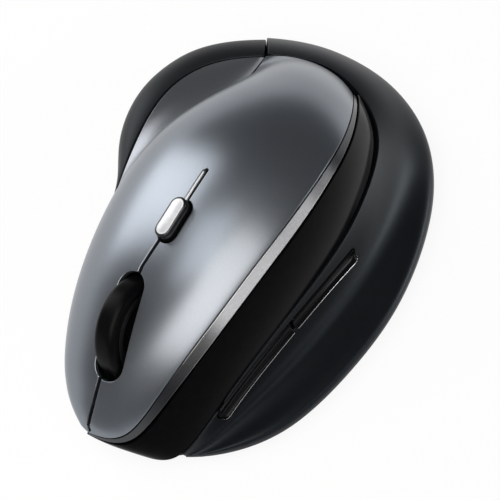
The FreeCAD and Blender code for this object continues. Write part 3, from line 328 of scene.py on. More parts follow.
def triangulate(size, outline, holes, lines, spacing):
    """Constrained triangles inside and around the outline. Places are scaled to about millimetres."""
    size = np.array(size, float)
    places = []
    edges = []
    bounds = [(loop, True) for loop in [outline] + holes] + [(line, False) for line in lines]
    for loop, closed in bounds:
        dense = resampled(np.asarray(loop) * size, spacing * 0.6, closed)
        base = sum(len(p) for p in places)
        places.append(dense)
        count = len(dense)
        edges += [(base + k, base + (k + 1) % count) for k in range(count if closed else count - 1)]
    fixed = np.vstack(places)
    across = np.arange(0.0, size[0], spacing)
    along = np.arange(0.0, size[1], spacing * 0.87)
    grid = np.array([(a + (spacing / 2 if k % 2 else 0.0), b) for k, b in enumerate(along) for a in across])
    grid = grid[inside(grid, np.asarray(outline) * size)]
    far = np.ones(len(grid), bool)
    for start in range(0, len(fixed), 200):
        part = fixed[start:start + 200]
        gap = np.linalg.norm(grid[:, None] - part[None], axis=2).min(1)
        far &= gap > spacing * 0.5
    everything = np.vstack([fixed, grid[far]])
    result = delaunay_2d_cdt([Vector(p) for p in everything], edges, [], 0, 1e-5)
    verts = np.array([tuple(v) for v in result[0]]) / size
    faces = [tuple(f) for f in result[2]]
    corners = []
    for face in faces:
        for k in range(1, len(face) - 1):
            corners.append((face[0], face[k], face[k + 1]))
    return verts, np.array(corners)


def chains(edges):
    """Joins edges end to end into ordered lines; a closed line repeats its first vertex."""
    after = {}
    before = {}
    for a, b in edges:
        after[a] = b
        before[b] = a
    left = set(after)
    result = []
    starts = [a for a in after if a not in before] + list(after)
    for start in starts:
        if start not in left:
            continue
        line = [start]
        while line[-1] in left:
            left.discard(line[-1])
            line.append(after[line[-1]])
            if line[-1] == start:
                break
        result.append(line)
    return result


def make_mesh(name, verts, faces, normals):
    mesh = bpy.data.meshes.new(name)
    mesh.from_pydata([tuple(v) for v in np.asarray(verts) * to_metres], [], faces)
    mesh.validate()
    mesh.polygons.foreach_set("use_smooth", [True] * len(mesh.polygons))
    if normals is not None and len(mesh.vertices) == len(verts):
        mesh.normals_split_custom_set_from_vertices([tuple(n) for n in normals])
    mesh.update()
    piece = bpy.data.objects.new(name, mesh)
    bpy.context.scene.collection.objects.link(piece)
    return piece


def open_edges_of(mine, owner):
    """The third corner beside each edge of the triangles, and the edges that face an opening."""
    third = {}
    for corner in mine:
        for k in range(3):
            third[(corner[k], corner[(k + 1) % 3])] = corner[(k + 2) % 3]
    edges = [(a, b) for a, b in third if (b, a) not in third and owner.get((b, a), -1) < 0]
    return edges, third


def edge_directions(places, beside, up, closed):
    """Directions in the skin that lead off an edge line at its points, longer at its corners."""
    along = unit(places[1:] - places[:-1])
    away = (places[1:] + places[:-1]) / 2 - beside
    out = unit(away - along * np.sum(away * along, axis=1, keepdims=True))
    previous = np.roll(out, 1, axis=0) if closed else np.vstack([out[:1], out])
    following = out if closed else np.vstack([out, out[-1:]])
    side = unit(previous + following)
    stretch = 1.0 / np.maximum(np.sum(side * following, axis=1, keepdims=True), 0.6)
    return unit(side - up * np.sum(side * up, axis=1, keepdims=True)) * stretch


def edge_layers(base, side, up, roll, depth):
    """Points and normals of the rings round a rolled edge and down its wall."""
    layers = []
    for degrees in (22.5, 45.0, 67.5, 90.0):
        turn = math.radians(degrees)
        points = base + side * roll * math.sin(turn) - up * roll * (1 - math.cos(turn))
        layers.append((points, unit(up * math.cos(turn) + unit(side) * math.sin(turn))))
    layers.append((base + side * roll - up * depth, unit(side)))
    return layers


def strip(near, far, closed, points, outward):
    """Faces between two rings of vertices, turned outward."""
    faces = []
    for k in range(len(near) if closed else len(near) - 1):
        following = (k + 1) % len(near)
        face = (near[k], near[following], far[following], far[k])
        a, b, c, d = points[list(face)]
        faces.append(face if np.cross(c - a, d - b) @ outward[k] > 0 else face[::-1])
    return faces


def skin_piece(name, patch, verts, corners, labels, label, roll, depth):
    """A shell over the triangles with one label: outer face, rolled edges, walls and inner face."""
    mine = corners[labels == label]
    owner = {}
    for corner, tag in zip(corners, labels):
        for k in range(3):
            owner[(corner[k], corner[(k + 1) % 3])] = tag
    used = np.unique(mine)
    index = {v: k for k, v in enumerate(used)}
    point, normal = patch.frames(np.clip(verts[used], 0, 1))[:2]
    shell = np.searchsorted(used, mine)
    first, second, third_point = (point[shell[:, k]] for k in range(3))
    facing = np.cross(second - first, third_point - first)
    flipped = np.sum(facing * normal[shell[:, 0]], axis=1) < 0
    shell[flipped] = shell[flipped][:, ::-1]
    count = len(used)
    faces = [tuple(face) for face in shell]
    faces += [tuple(face[::-1] + count) for face in shell]
    mesh_points = [point, point - normal * depth]
    mesh_normals = [normal, -normal]
    total = 2 * count
    edges, third = open_edges_of(mine, owner)
    for line in chains(edges):
        closed = line[0] == line[-1]
        ring = np.array([index[v] for v in (line[:-1] if closed else line)])
        up = normal[ring]
        places = point[[index[v] for v in line]]
        beside = point[[index[third[pair]] for pair in zip(line[:-1], line[1:])]]
        side = edge_directions(places, beside, up, closed)
        rings = [ring]
        for points, normals in edge_layers(point[ring], side, up, roll, depth):
            mesh_points.append(points)
            mesh_normals.append(normals)
            rings.append(total + np.arange(len(ring)))
            total += len(ring)
        everything = np.vstack(mesh_points)
        for near, far in zip(rings[:-1], rings[1:]):
            faces += strip(near, far, closed, everything, side + up * 0.6)
        faces += strip(rings[-1], ring + count, closed, everything, -up)
    return make_mesh(name, np.vstack(mesh_points), [tuple(int(v) for v in f) for f in faces],
                     np.vstack(mesh_normals))


least_area = 1e-5


def plain_skin(name, rows, size, margins, roll, depth, spacing, holes=()):
    """One skin of about the given width and length. Its margins are those of the first and the last
    row, the front end and the rear end; triangles without area are left out."""
    patch = Patch(rows)
    outline = patch_outline(patch, [margin + roll for margin in margins])
    verts, corners = triangulate(size, outline, list(holes), [], spacing)
    centers = verts[corners].mean(1)
    labels = np.where(inside(centers, outline), 0, -1)
    for hole in holes:
        labels[inside(centers, hole)] = -1
    flat = verts[corners] * size
    first = flat[:, 1] - flat[:, 0]
    second = flat[:, 2] - flat[:, 0]
    labels[np.abs(first[:, 0] * second[:, 1] - first[:, 1] * second[:, 0]) < least_area] = -1
    return skin_piece(name, patch, verts, corners, labels, 0, roll, depth)


# Outlines of the openings

def turn_matrix(turns):
    """Turns about X, Y or Z by degrees, applied in order."""
    result = np.eye(3)
    for axis, degrees in turns:
        c = math.cos(math.radians(degrees))
        s = math.sin(math.radians(degrees))
        if axis == "x":
            step = np.array([[1, 0, 0], [0, c, -s], [0, s, c]])
        elif axis == "y":
            step = np.array([[c, 0, s], [0, 1, 0], [-s, 0, c]])
        else:
            step = np.array([[c, -s, 0], [s, c, 0], [0, 0, 1]])
        result = step @ result
    return result


def stadium(length, width, steps=24):
    """Outline of a slot along Y on the XY plane."""
    half = (length - width) / 2
    turn = np.linspace(0, math.pi, steps)
    front = np.stack([width / 2 * np.cos(turn), half + width / 2 * np.sin(turn)], 1)
    return np.vstack([front, -front])


def raised(outline, height=0.0):
    """A flat outline as points in space."""
    return np.hstack([outline, np.full((len(outline), 1), height)])


def seam_x(y):
    """Where the line between the finger buttons runs."""
    return np.interp(y, [p[1] for p in reversed(seam_points)], [p[0] for p in reversed(seam_points)])


def slot_widening(y):
    """The slot is wider behind the speed button."""
    return slot_extra * float(np.clip((y - slot_wide_end + slot_ramp) / slot_ramp, 0.0, 1.0))


def shifted(points):
    return np.asarray(points, float) + origin_shift


top_patch = Patch(top_rows())
wheel_turn = turn_matrix([("y", -wheel_tilt)])
slot_turn = turn_matrix([("x", wheel_slot_rise), ("y", -wheel_tilt)])
mode_turned = turn_matrix([("z", mode_turn), ("x", mode_slope), ("y", -mode_tilt)])
wheel_place = shifted(wheel_center)
mode_at = top_patch.meet([shifted([mode_center[0], mode_center[1], 0])], (0, 0, 1))
mode_place = top_patch.points(mode_at)[0]


# Top: one skin on each side of the slot, from the nose to the heel

def top_pieces():
    roll = 0.22
    depth = 1.0
    edge_gap = 0.1
    nose_gap = 0.3
    spacing = 1.0
    size = (78.0, 128.0)
    outline = patch_outline(top_patch, (edge_gap + roll, edge_gap + roll, nose_gap + roll, edge_gap + roll))
    slot = raised(stadium(wheel_slot_length + 2 * roll, wheel_slot_width + 2 * roll)) @ slot_turn.T
    slot = top_patch.meet(slot + wheel_place, slot_turn @ np.array([0, 0, 1.0]))
    around = 2 * (mode_gap + roll)
    hole = raised(stadium(mode_length + around, mode_width + around)) @ mode_turned.T
    hole = top_patch.meet(hole + mode_place, mode_turned @ np.array([0, 0, 1.0]))
    half = seam_width / 2 + roll
    rear_end = seam_points[0][1]
    past_nose = -61.6
    near_heel = 47.6
    wide_ys = np.linspace(rear_end, slot_wide_end - slot_ramp, 24)
    narrow_ys = np.linspace(slot_wide_end - slot_ramp - 1.0, past_nose, 70)
    ys = np.concatenate([wide_ys, narrow_ys])
    near = np.array([(seam_x(y) - half - slot_widening(y), y, 0.0) for y in ys])
    far = np.array([(seam_x(y) + half, y, 0.0) for y in ys[::-1]])
    reach = half + slot_widening(rear_end) / 2
    middle = seam_points[0][0] - slot_widening(rear_end) / 2
    tip = np.array([(middle + reach * math.cos(a), rear_end + reach * math.sin(a), 0.0)
                    for a in np.linspace(0, math.pi, 13)[1:-1]])
    seam = top_patch.meet(shifted(np.vstack([near, far, tip])), (0, 0, 1))
    parting = [(seam_points[0][0], y, 0.0) for y in np.linspace(rear_end + half, near_heel, 60)]
    parting = top_patch.meet(shifted(parting), (0, 0, 1))
    verts, corners = triangulate(size, outline, [slot, hole, seam], [parting], spacing)
    centers = verts[corners].mean(1)
    places = top_patch.points(np.clip(centers, 0, 1)) - origin_shift
    labels = np.where(places[:, 0] > seam_x(places[:, 1]), 1, 0)
    labels[~inside(centers, outline)] = -1
    for gap in (slot, hole, seam):
        labels[inside(centers, gap)] = -1
    thumb = skin_piece("top_thumb_side", top_patch, verts, corners, labels, 1, roll, depth)
    pinky = skin_piece("top_pinky_side", top_patch, verts, corners, labels, 0, roll, depth)
    return thumb, pinky


def slot_wall():
    """The sloping wall inside the wide part of the slot, from its pinky edge down to its middle."""
    tuck = 0.1
    ys = np.linspace(seam_points[0][1] + tuck, slot_wide_end, 20)
    reach = seam_width / 2
    high = shifted([(seam_x(y) - reach - slot_extra - tuck, y, 0.0) for y in ys])
    low = shifted([(seam_x(y) + tuck / 2, y, 0.0) for y in ys])
    high, high_normal = top_patch.frames(top_patch.meet(high, (0, 0, 1.0)))[:2]
    low, low_normal = top_patch.frames(top_patch.meet(low, (0, 0, 1.0)))[:2]
    top_depth = 0.06
    foot_depth = 0.7
    back_depth = 0.8
    verts = np.vstack([high - top_depth * high_normal, low - foot_depth * low_normal,
                       high - back_depth * high_normal])
    count = len(ys)
    faces = []
    for k in range(count - 1):
        for a, b in ((0, 1), (1, 2), (2, 0)):
            faces.append((a * count + k, b * count + k, b * count + k + 1, a * count + k + 1))
    faces.append((0, 2 * count, count))
    faces.append((count - 1, 2 * count - 1, 3 * count - 1))
    return make_mesh("slot_wall", verts, faces, None)


def bend_with_button(piece):
    """Bakes the piece's placement into its vertices."""
    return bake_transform(piece)


thumb_top, pinky_top = top_pieces()
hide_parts("left_button", "palm_cover")
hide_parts("right_button")
bend_with_button(thumb_top)
wall = slot_wall()
bend_with_button(wall)
bend_with_button(pinky_top)

trim = plain_skin("silver_bevel", [row(trim_in), row(trim_out)], (2.2, 140.0), (0.12, 0.0, 0.8, 0.2),
                  roll=0.14, depth=1.5, spacing=0.5)
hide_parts("button_trim", "palm_trim")
bend_with_button(trim)

band = plain_skin("gloss_side", band_rows(), (26.0, 150.0), (0.75, 0.25, 0.35, 0.35),
                  roll=0.25, depth=2.0, spacing=1.0)
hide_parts("gloss_band")
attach(band, "case")

flare = plain_skin("hollow_flank", flare_rows(), (14.0, 125.0), (0.45, 0.12, 1.05, 0.35),
                   roll=0.22, depth=2.0, spacing=0.8)
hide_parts("pinky_flare")
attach(flare, "case")

rim = plain_skin("rubber_rim", rim_rows(), (20.0, 140.0), (0.25, 0.0, 0.3, -0.02),
                 roll=0.3, depth=1.8, spacing=0.9)
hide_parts("pinky_rim")
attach(rim, "case")


# Thumb rest and the two bars in its slot

wing_patch = Patch(wing_rows())


def slot_circle():
    """The circle through the three points of the side slot's centre line."""
    a, b, c = [np.array(p) for p in slot_points]
    system = 2 * np.array([b - a, c - a])
    center = np.linalg.solve(system, np.array([b @ b - a @ a, c @ c - a @ a]))
    return center, np.linalg.norm(a - center)


def slot_place(along, across):
    """Places in the YZ plane: along is 0 at the front end and 1 at the rear, across in millimetres."""
    center, radius = slot_circle()
    first = np.array(slot_points[0]) - center
    last = np.array(slot_points[2]) - center
    low = math.atan2(first[1], first[0])
    high = math.atan2(last[1], last[0])
    angle = low + (high - low) * np.asarray(along)
    sign = 1.0 if center[1] < slot_points[1][1] else -1.0
    reach = radius + sign * np.asarray(across)
    return np.stack([center[0] + reach * np.cos(angle), center[1] + reach * np.sin(angle)], -1)


def slot_length():
    fine = slot_place(np.linspace(0, 1, 200), 0.0)
    return np.linalg.norm(np.diff(fine, axis=0), axis=1).sum()


def slot_outline(grow):
    """Outline of the side slot, grown on all sides."""
    half = slot_height / 2 + grow
    reach = half / slot_length()
    turn = np.linspace(-math.pi / 2, math.pi / 2, 13)
    rear = slot_place(1 + reach * np.cos(turn), half * np.sin(turn))
    middle = np.linspace(1, 0, 60)[1:-1]
    upper = slot_place(middle, half)
    front = slot_place(-reach * np.cos(turn[::-1]), half * np.sin(turn[::-1]))
    lower = slot_place(middle[::-1], -half)
    flat = np.vstack([rear, upper, front, lower])
    return np.hstack([np.full((len(flat), 1), slot_start_x), flat])


slot_start_x = 19.0
slot_edge_round = 0.3
side_slot = wing_patch.meet(slot_outline(slot_edge_round) + origin_shift, (1, 0, 0))
wing = plain_skin("thumb_rest", wing_rows(), (34.0, 150.0), (0.2, 0.0, 0.2, -0.02),
                  roll=slot_edge_round, depth=2.0, spacing=1.0, holes=[side_slot])
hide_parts("thumb_wing")
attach(wing, "case")


# A bar's section: places across it from the lower edge to the upper, and their height on the skin
bar_across = np.array([-1.0, -0.96, -0.88, -0.80, -0.72, -0.62, -0.45, -0.2, 0.1, 0.4, 0.65, 0.82, 0.94, 1.0])
bar_height = np.array([0.3, 0.8, 1.0, 0.95, 0.65, 0.25, -0.1, -0.3, -0.35, -0.25, -0.05, 0.15, 0.2, 0.0])
bar_steps = 90
bar_wall = 1.8
bar_end_round = 0.35
bar_tip_round = 0.5
# Painted highlight: the faces of this column on the lip's crest get a bright silver finish in place of the
# highlight along the lip's edge.
highlight_column = 2
lip_highlight_faces = set()


def bar_grid(start, end, round_front):
    """Places of a bar's face on the thumb rest, and how far each stands proud of it."""
    half = slot_height / 2 - side_clearance
    length = (end - start) * slot_length()
    places = []
    lifts = []
    for step in np.linspace(0.0, 1.0, bar_steps):
        tip = (step if round_front else 1.0 - step) * length
        edge = length - tip
        full = 1.0 if tip >= half else math.sqrt(max(0.0, 1.0 - ((half - tip) / half) ** 2))
        bevel = min(1.0, edge / bar_end_round, max(tip, 0.0) / bar_tip_round + 0.1)
        at = np.full(len(bar_across), start + (end - start) * step)
        places.append(slot_place(at, bar_across * half * max(full, 0.12)))
        lifts.append(bar_height * math.sqrt(max(0.02, 1 - (1 - bevel) ** 2)))
    return np.vstack(places), np.concatenate(lifts)


def side_bar(name, start, end, round_front):
    """A bar in the side slot: a hollow face between a rounded top edge and a proud lip below."""
    flat, lifts = bar_grid(start, end, round_front)
    starts = np.hstack([np.full((len(flat), 1), slot_start_x), flat]) + origin_shift
    point, normal = wing_patch.frames(wing_patch.meet(starts, (1, 0, 0)))[:2]
    verts = np.vstack([point + normal * lifts[:, None], point - normal * bar_wall])
    columns = len(bar_across)
    count = bar_steps
    faces = []

    def index(i, j, layer):
        return layer * count * columns + i * columns + j

    def add(face, outward):
        a, b, c, d = (verts[v] for v in face)
        facing = np.cross(c - a, d - b)
        faces.append(face if facing @ outward > 0 else face[::-1])

    for i in range(count - 1):
        for j in range(columns - 1):
            face = (index(i, j, 0), index(i + 1, j, 0), index(i + 1, j + 1, 0), index(i, j + 1, 0))
            if j == highlight_column:
                lip_highlight_faces.add(len(faces))
            add(face, normal[i * columns + j])
            add(tuple(v + count * columns for v in face), -normal[i * columns + j])
        for j, down in ((0, -1.0), (columns - 1, 1.0)):
            face = (index(i, j, 0), index(i + 1, j, 0), index(i + 1, j, 1), index(i, j, 1))
            add(face, np.array([0, 0, down]))
    for j in range(columns - 1):
        for i, forward in ((0, -1.0), (count - 1, 1.0)):
            face = (index(i, j, 0), index(i, j + 1, 0), index(i, j + 1, 1), index(i, j, 1))
            add(face, np.array([0, forward, 0]))
    piece = make_mesh(name, verts, faces, None)
    rounding = piece.modifiers.new("edges", "BEVEL")
    rounding.width = 0.00012
    rounding.segments = 2
    rounding.limit_method = "ANGLE"
    rounding.angle_limit = math.radians(50)
    return piece


def split_share(y):
    """How far along the side slot a place along Y lies."""
    shares = np.linspace(0, 1, 400)
    return float(np.interp(y, slot_place(shares, 0.0)[:, 0], shares))


tip_share = (slot_height / 2 - side_clearance) / slot_length()
front_bar = side_bar("front_side_bar", -tip_share, split_share(side_split_y - side_split_gap / 2), True)
rear_bar = side_bar("rear_side_bar", split_share(side_split_y + side_split_gap / 2), 1.0 + tip_share, False)
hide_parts("forward_button")
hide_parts("back_button")
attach(front_bar, "forward_button")
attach(rear_bar, "back_button")


# Wheel and speed button

def lathe(name, profile, turns=144):
    """A ring round the wheel's axle from (place along the axle, radius) pairs."""
    profile = np.array(profile)
    verts = []
    for angle in np.linspace(0, 2 * math.pi, turns, endpoint=False):
        for x, radius in profile:
            verts.append((x, radius * math.cos(angle), radius * math.sin(angle)))
    rings = len(profile)
    faces = []
    for k in range(turns):
        following = (k + 1) % turns
        for j in range(rings):
            nxt = (j + 1) % rings
            faces.append((k * rings + j, k * rings + nxt, following * rings + nxt, following * rings + j))
    verts = np.array(verts) @ wheel_turn.T + wheel_place
    return make_mesh(name, verts, faces, None)


half_tyre = tyre_width / 2
inner_radius = wheel_radius - tyre_thickness
tyre_round = 1.7
tyre_crown = 0.02
bead = 0.3
tyre_profile = []
for degrees in range(0, 91, 15):
    a = math.radians(degrees)
    inset = tyre_round - tyre_round * math.cos(a)
    tyre_profile.append((-half_tyre + inset, wheel_radius - tyre_round + tyre_round * math.sin(a)))
tyre_profile.append((0.0, wheel_radius + tyre_crown))
tyre_profile += [(-x, r) for x, r in reversed(tyre_profile[:-1])]
tyre_profile += [(half_tyre, inner_radius + bead), (half_tyre - bead, inner_radius),
                 (-half_tyre + bead, inner_radius), (-half_tyre, inner_radius + bead)]
tyre = lathe("wheel_rubber", tyre_profile)
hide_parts("wheel_tyre")
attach(tyre, "wheel")


def cap_outline(length, width):
    return stadium(length, width, 20)


def stacked(name, layers, matrix, place):
    """A closed body from stadium outlines: (length, width, height) from below upward."""
    verts = []
    for length, width, height in layers:
        verts.append(raised(cap_outline(length, width), height))
    count = len(verts[0])
    flat = np.vstack(verts)
    faces = []
    for k in range(len(layers) - 1):
        for j in range(count):
            nxt = (j + 1) % count
            faces.append((k * count + j, k * count + nxt, (k + 1) * count + nxt, (k + 1) * count + j))
    faces.append(tuple(range(count - 1, -1, -1)))
    faces.append(tuple(range((len(layers) - 1) * count, len(layers) * count)))
    return make_mesh(name, flat @ matrix.T + place, faces, None)


cap_root = -3.2
cap_roll = 0.45
cap_groove = 0.02
groove_inset = 0.25
cap_crown = 0.03
crown_inset = 0.9
cap_layers = [(mode_length, mode_width, cap_root), (mode_length, mode_width, mode_height - cap_roll)]
for degrees in (18, 36, 54, 72, 90):
    a = math.radians(degrees)
    inset = 2 * cap_roll * (1 - math.cos(a))
    height = mode_height - cap_roll + cap_roll * math.sin(a)
    cap_layers.append((mode_length - inset, mode_width - inset, height))
inset = 2 * cap_roll + groove_inset
cap_layers.append((mode_length - inset, mode_width - inset, mode_height - cap_groove))
inset += crown_inset
cap_layers.append((mode_length - inset, mode_width - inset, mode_height + cap_crown))
cap_side_faces = len(cap_outline(mode_length, mode_width)) * (len(cap_layers) - 2)
speed_cap = stacked("speed_cap", cap_layers, mode_turned, mode_place)
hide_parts("mode_button")
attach(speed_cap, "mode_button")


# Materials

def shader(name):
    material = bpy.data.materials.new(name)
    material.use_nodes = True
    tree = material.node_tree
    surface = tree.nodes["Principled BSDF"]
    return material, tree, surface


def add_node(tree, kind, **values):
    made = tree.nodes.new(kind)
    for key, value in values.items():
        setattr(made, key, value)
    return made


def speckled(tree, scale, detail=2.0):
    coordinate = add_node(tree, "ShaderNodeTexCoord")
    noise = add_node(tree, "ShaderNodeTexNoise")
    noise.inputs["Scale"].default_value = scale
    noise.inputs["Detail"].default_value = detail
    tree.links.new(coordinate.outputs["Object"], noise.inputs["Vector"])
    return noise.outputs["Fac"]


def ramp(tree, source, low, high):
    made = add_node(tree, "ShaderNodeValToRGB")
    made.color_ramp.elements[0].position = 0.3
    made.color_ramp.elements[1].position = 0.7
    made.color_ramp.elements[0].color = (*low, 1)
    made.color_ramp.elements[1].color = (*high, 1)
    tree.links.new(source, made.inputs["Fac"])
    return made.outputs["Color"]


def bumped(tree, surface, source, strength, distance, rounding=0.0):
    bump = add_node(tree, "ShaderNodeBump")
    bump.inputs["Strength"].default_value = strength
    bump.inputs["Distance"].default_value = distance
    tree.links.new(source, bump.inputs["Height"])
    if rounding:
        bevel = add_node(tree, "ShaderNodeBevel", samples=4)
        bevel.inputs["Radius"].default_value = rounding
        tree.links.new(bevel.outputs["Normal"], bump.inputs["Normal"])
    tree.links.new(bump.outputs["Normal"], surface.inputs["Normal"])


def finish_of(name, low, high, roughness, metallic=0.0, grain=900.0, strength=0.15, depth=0.00002,
              specular=0.5, rounding=0.0, tint=(1.0, 1.0, 1.0)):
    """A grained finish: two near colours, a roughness that varies a little and a fine relief."""
    material, tree, surface = shader(name)
    grain_out = speckled(tree, grain)
    tree.links.new(ramp(tree, grain_out, low, high), surface.inputs["Base Color"])
    wide = speckled(tree, 60.0, 1.0)
    vary = add_node(tree, "ShaderNodeMapRange")
    vary.inputs["To Min"].default_value = roughness - 0.04
    vary.inputs["To Max"].default_value = roughness + 0.04
    tree.links.new(wide, vary.inputs["Value"])
    tree.links.new(vary.outputs["Result"], surface.inputs["Roughness"])
    surface.inputs["Metallic"].default_value = metallic
    surface.inputs["Specular IOR Level"].default_value = specular
    surface.inputs["Specular Tint"].default_value = (*tint, 1)
    bumped(tree, surface, grain_out, strength, depth, rounding)
    return material


def paint_shade_toward_ends(material, shade_colour, *fades):
    """Painted shade: the finish's colour darkens toward each end, where the bevel's reflections are dimmer;
    from the first to the second place along Y it grows bright.
    """
    tree = material.node_tree
    surface = tree.nodes["Principled BSDF"]
    bright = surface.inputs["Base Color"].links[0].from_socket
    coordinate = add_node(tree, "ShaderNodeTexCoord")
    split = add_node(tree, "ShaderNodeSeparateXYZ")
    tree.links.new(coordinate.outputs["Object"], split.inputs["Vector"])
    both = add_node(tree, "ShaderNodeMath", operation="MULTIPLY")
    for k, (start, end) in enumerate(fades):
        fade = add_node(tree, "ShaderNodeMapRange", interpolation_type="SMOOTHSTEP")
        fade.inputs["From Min"].default_value = min(start, end) * to_metres
        fade.inputs["From Max"].default_value = max(start, end) * to_metres
        fade.inputs["To Min"].default_value = 0.0 if start < end else 1.0
        fade.inputs["To Max"].default_value = 1.0 if start < end else 0.0
        tree.links.new(split.outputs["Y"], fade.inputs["Value"])
        tree.links.new(fade.outputs["Result"], both.inputs[k])
    mix = add_node(tree, "ShaderNodeMixRGB")
    mix.inputs["Color1"].default_value = (*shade_colour, 1)
    tree.links.new(both.outputs["Value"], mix.inputs["Fac"])
    tree.links.new(bright, mix.inputs["Color2"])
    tree.links.new(mix.outputs["Color"], surface.inputs["Base Color"])


def assign(material, *pieces):
    for piece in pieces:
        piece.data.materials.clear()
        piece.data.materials.append(material)


cool = (0.78, 0.90, 1.0)
metal_top = finish_of("satin_gunmetal", (0.200, 0.220, 0.249), (0.215, 0.235, 0.264), roughness=0.29,
                      metallic=0.9, grain=3000.0, strength=0.015, depth=0.00001)
silver = finish_of("silver_satin", (0.40, 0.402, 0.41), (0.44, 0.442, 0.45), roughness=0.26, metallic=1.0,
                   grain=1500.0, strength=0.05, depth=0.00001)
gloss = finish_of("gloss_black", (0.0015, 0.0015, 0.002), (0.0025, 0.0025, 0.003), roughness=0.12,
                  grain=500.0, strength=0.02, depth=0.00001, specular=0.02)
soft = finish_of("soft_charcoal", (0.003, 0.0035, 0.005), (0.005, 0.0055, 0.007), roughness=0.38,
                 grain=2200.0, strength=0.2, specular=0.25, tint=cool)
rubber = finish_of("grip_rubber", (0.006, 0.0065, 0.008), (0.008, 0.0085, 0.010), roughness=0.45,
                   grain=2600.0, strength=0.3, depth=0.00003, specular=0.2, tint=cool)
flank = finish_of("hollow_metal", (0.205, 0.216, 0.236), (0.225, 0.236, 0.256), roughness=0.30,
                  metallic=0.9, grain=2600.0, strength=0.08, depth=0.00001)
bar_dark = finish_of("bar_dark", (0.003, 0.003, 0.004), (0.005, 0.005, 0.006), roughness=0.25,
                     grain=1500.0, strength=0.05, depth=0.00001, specular=0.1)
# Painted highlight: a bright silver for the crest of the bars' lip, standing in for the highlight along its
# edge.
bar_lip_highlight = finish_of("bar_lip_highlight", (0.42, 0.42, 0.43), (0.48, 0.48, 0.49), roughness=0.25, metallic=1.0,
                     grain=1500.0, strength=0.03, depth=0.00001)
tyre_black = finish_of("tyre_black", (0.0015, 0.0015, 0.002), (0.0025, 0.0025, 0.003), roughness=0.36,
                       grain=3000.0, strength=0.2, depth=0.00003, specular=0.06)
cap_silver_and_wall_highlight = finish_of("cap_silver_and_wall_highlight", (0.44, 0.44, 0.45), (0.50, 0.50, 0.51), roughness=0.30, metallic=1.0,
                       grain=1500.0, strength=0.03, depth=0.00001)
case_black = finish_of("case_texture", (0.016, 0.016, 0.017), (0.026, 0.026, 0.028), roughness=0.5,
                       grain=3000.0, strength=0.5, depth=0.00004, rounding=0.0003)
assign(metal_top, thumb_top, pinky_top)
assign(silver, trim)
# Painted highlight: the slot's sloping wall in the gunmetal top gets the cap's bright silver, standing in for
# its lit face.
assign(cap_silver_and_wall_highlight, wall)
# Painted shade: the silver bevel's colour is made darker toward the nose and toward the heel.
paint_shade_toward_ends(silver, (0.075, 0.077, 0.082), (-50.0, -36.0), (11.0, -1.0))
assign(gloss, band)
assign(soft, wing)
assign(rubber, rim)
assign(flank, flare)
assign(bar_dark, front_bar, rear_bar)
for bar in (front_bar, rear_bar):
    bar.data.materials.append(bar_lip_highlight)
    for polygon in bar.data.polygons:
        if polygon.index in lip_highlight_faces:
            polygon.material_index = 1
assign(tyre_black, tyre)
assign(cap_silver_and_wall_highlight, speed_cap)
cap_black = finish_of("cap_black", (0.006, 0.006, 0.007), (0.009, 0.009, 0.010), roughness=0.16,
                      grain=900.0, strength=0.02, depth=0.00001)
speed_cap.data.materials.append(cap_black)
for polygon in speed_cap.data.polygons[:cap_side_faces]:
    polygon.material_index = 1

inner_finishes = {
    "steel": finish_of("plated_steel", (0.50, 0.50, 0.51), (0.60, 0.60, 0.61), roughness=0.3, metallic=1.0,
                       grain=1200.0, rounding=0.0001),
    "board": finish_of("solder_mask", (0.02, 0.11, 0.06), (0.03, 0.15, 0.08), roughness=0.35, grain=700.0,
                       strength=0.3, depth=0.00003),
    "grey": finish_of("switch_grey", (0.05, 0.052, 0.06), (0.07, 0.072, 0.08), roughness=0.45,
                      grain=1500.0, rounding=0.0002),
    "white": finish_of("plunger_white", (0.62, 0.60, 0.54), (0.70, 0.68, 0.62), roughness=0.4,
                       grain=1500.0, rounding=0.0001),
    "foot": finish_of("foot_slick", (0.035, 0.035, 0.036), (0.05, 0.05, 0.05), roughness=0.35, grain=900.0,
                      rounding=0.0002),
    "sleeve": finish_of("cell_sleeve", (0.03, 0.09, 0.22), (0.04, 0.11, 0.26), roughness=0.3, metallic=0.4,
                        grain=300.0, rounding=0.0003),
    "hub": finish_of("hub_black", (0.006, 0.006, 0.007), (0.009, 0.009, 0.010), roughness=0.4,
                     grain=1500.0, specular=0.15, rounding=0.0002),
}
lens_material, lens_tree, lens_surface = shader("lens_clear")
lens_surface.inputs["Transmission Weight"].default_value = 0.9
lens_surface.inputs["Roughness"].default_value = 0.05
bumped(lens_tree, lens_surface, speckled(lens_tree, 200.0), 0.02, 0.00001)
inner_finishes["lens"] = lens_material

node_finish = {
    "case": ["bottom_case", "battery_door", "center_spine"],
    "foot": ["feet"],
    "steel": ["case_screws", "board_screws", "contact_plates", "contact_springs", "wheel_axle",
              "wheel_pivot_pin"],
    "sleeve": ["battery_cells"],
    "board": ["main_board", "side_board", "mode_board"],
    "grey": ["sensor_chip", "controller_chip", "left_switch", "right_switch", "forward_switch",
             "back_switch", "power_switch", "mode_switch", "wheel_switch", "encoder_body", "nano_receiver"],
    "white": ["left_switch_plunger", "right_switch_plunger", "forward_switch_plunger",
              "back_switch_plunger", "mode_switch_plunger", "wheel_switch_plunger", "power_slider",
              "encoder_rotor"],
    "hub": ["wheel_hub", "wheel_carrier", "wheel_bracket"],
    "lens": ["sensor_lens"],
}
inner_finishes["case"] = case_black
for finish, names in node_finish.items():
    for name in names:
        assign(inner_finishes[finish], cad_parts[name])


# Floor, light and camera

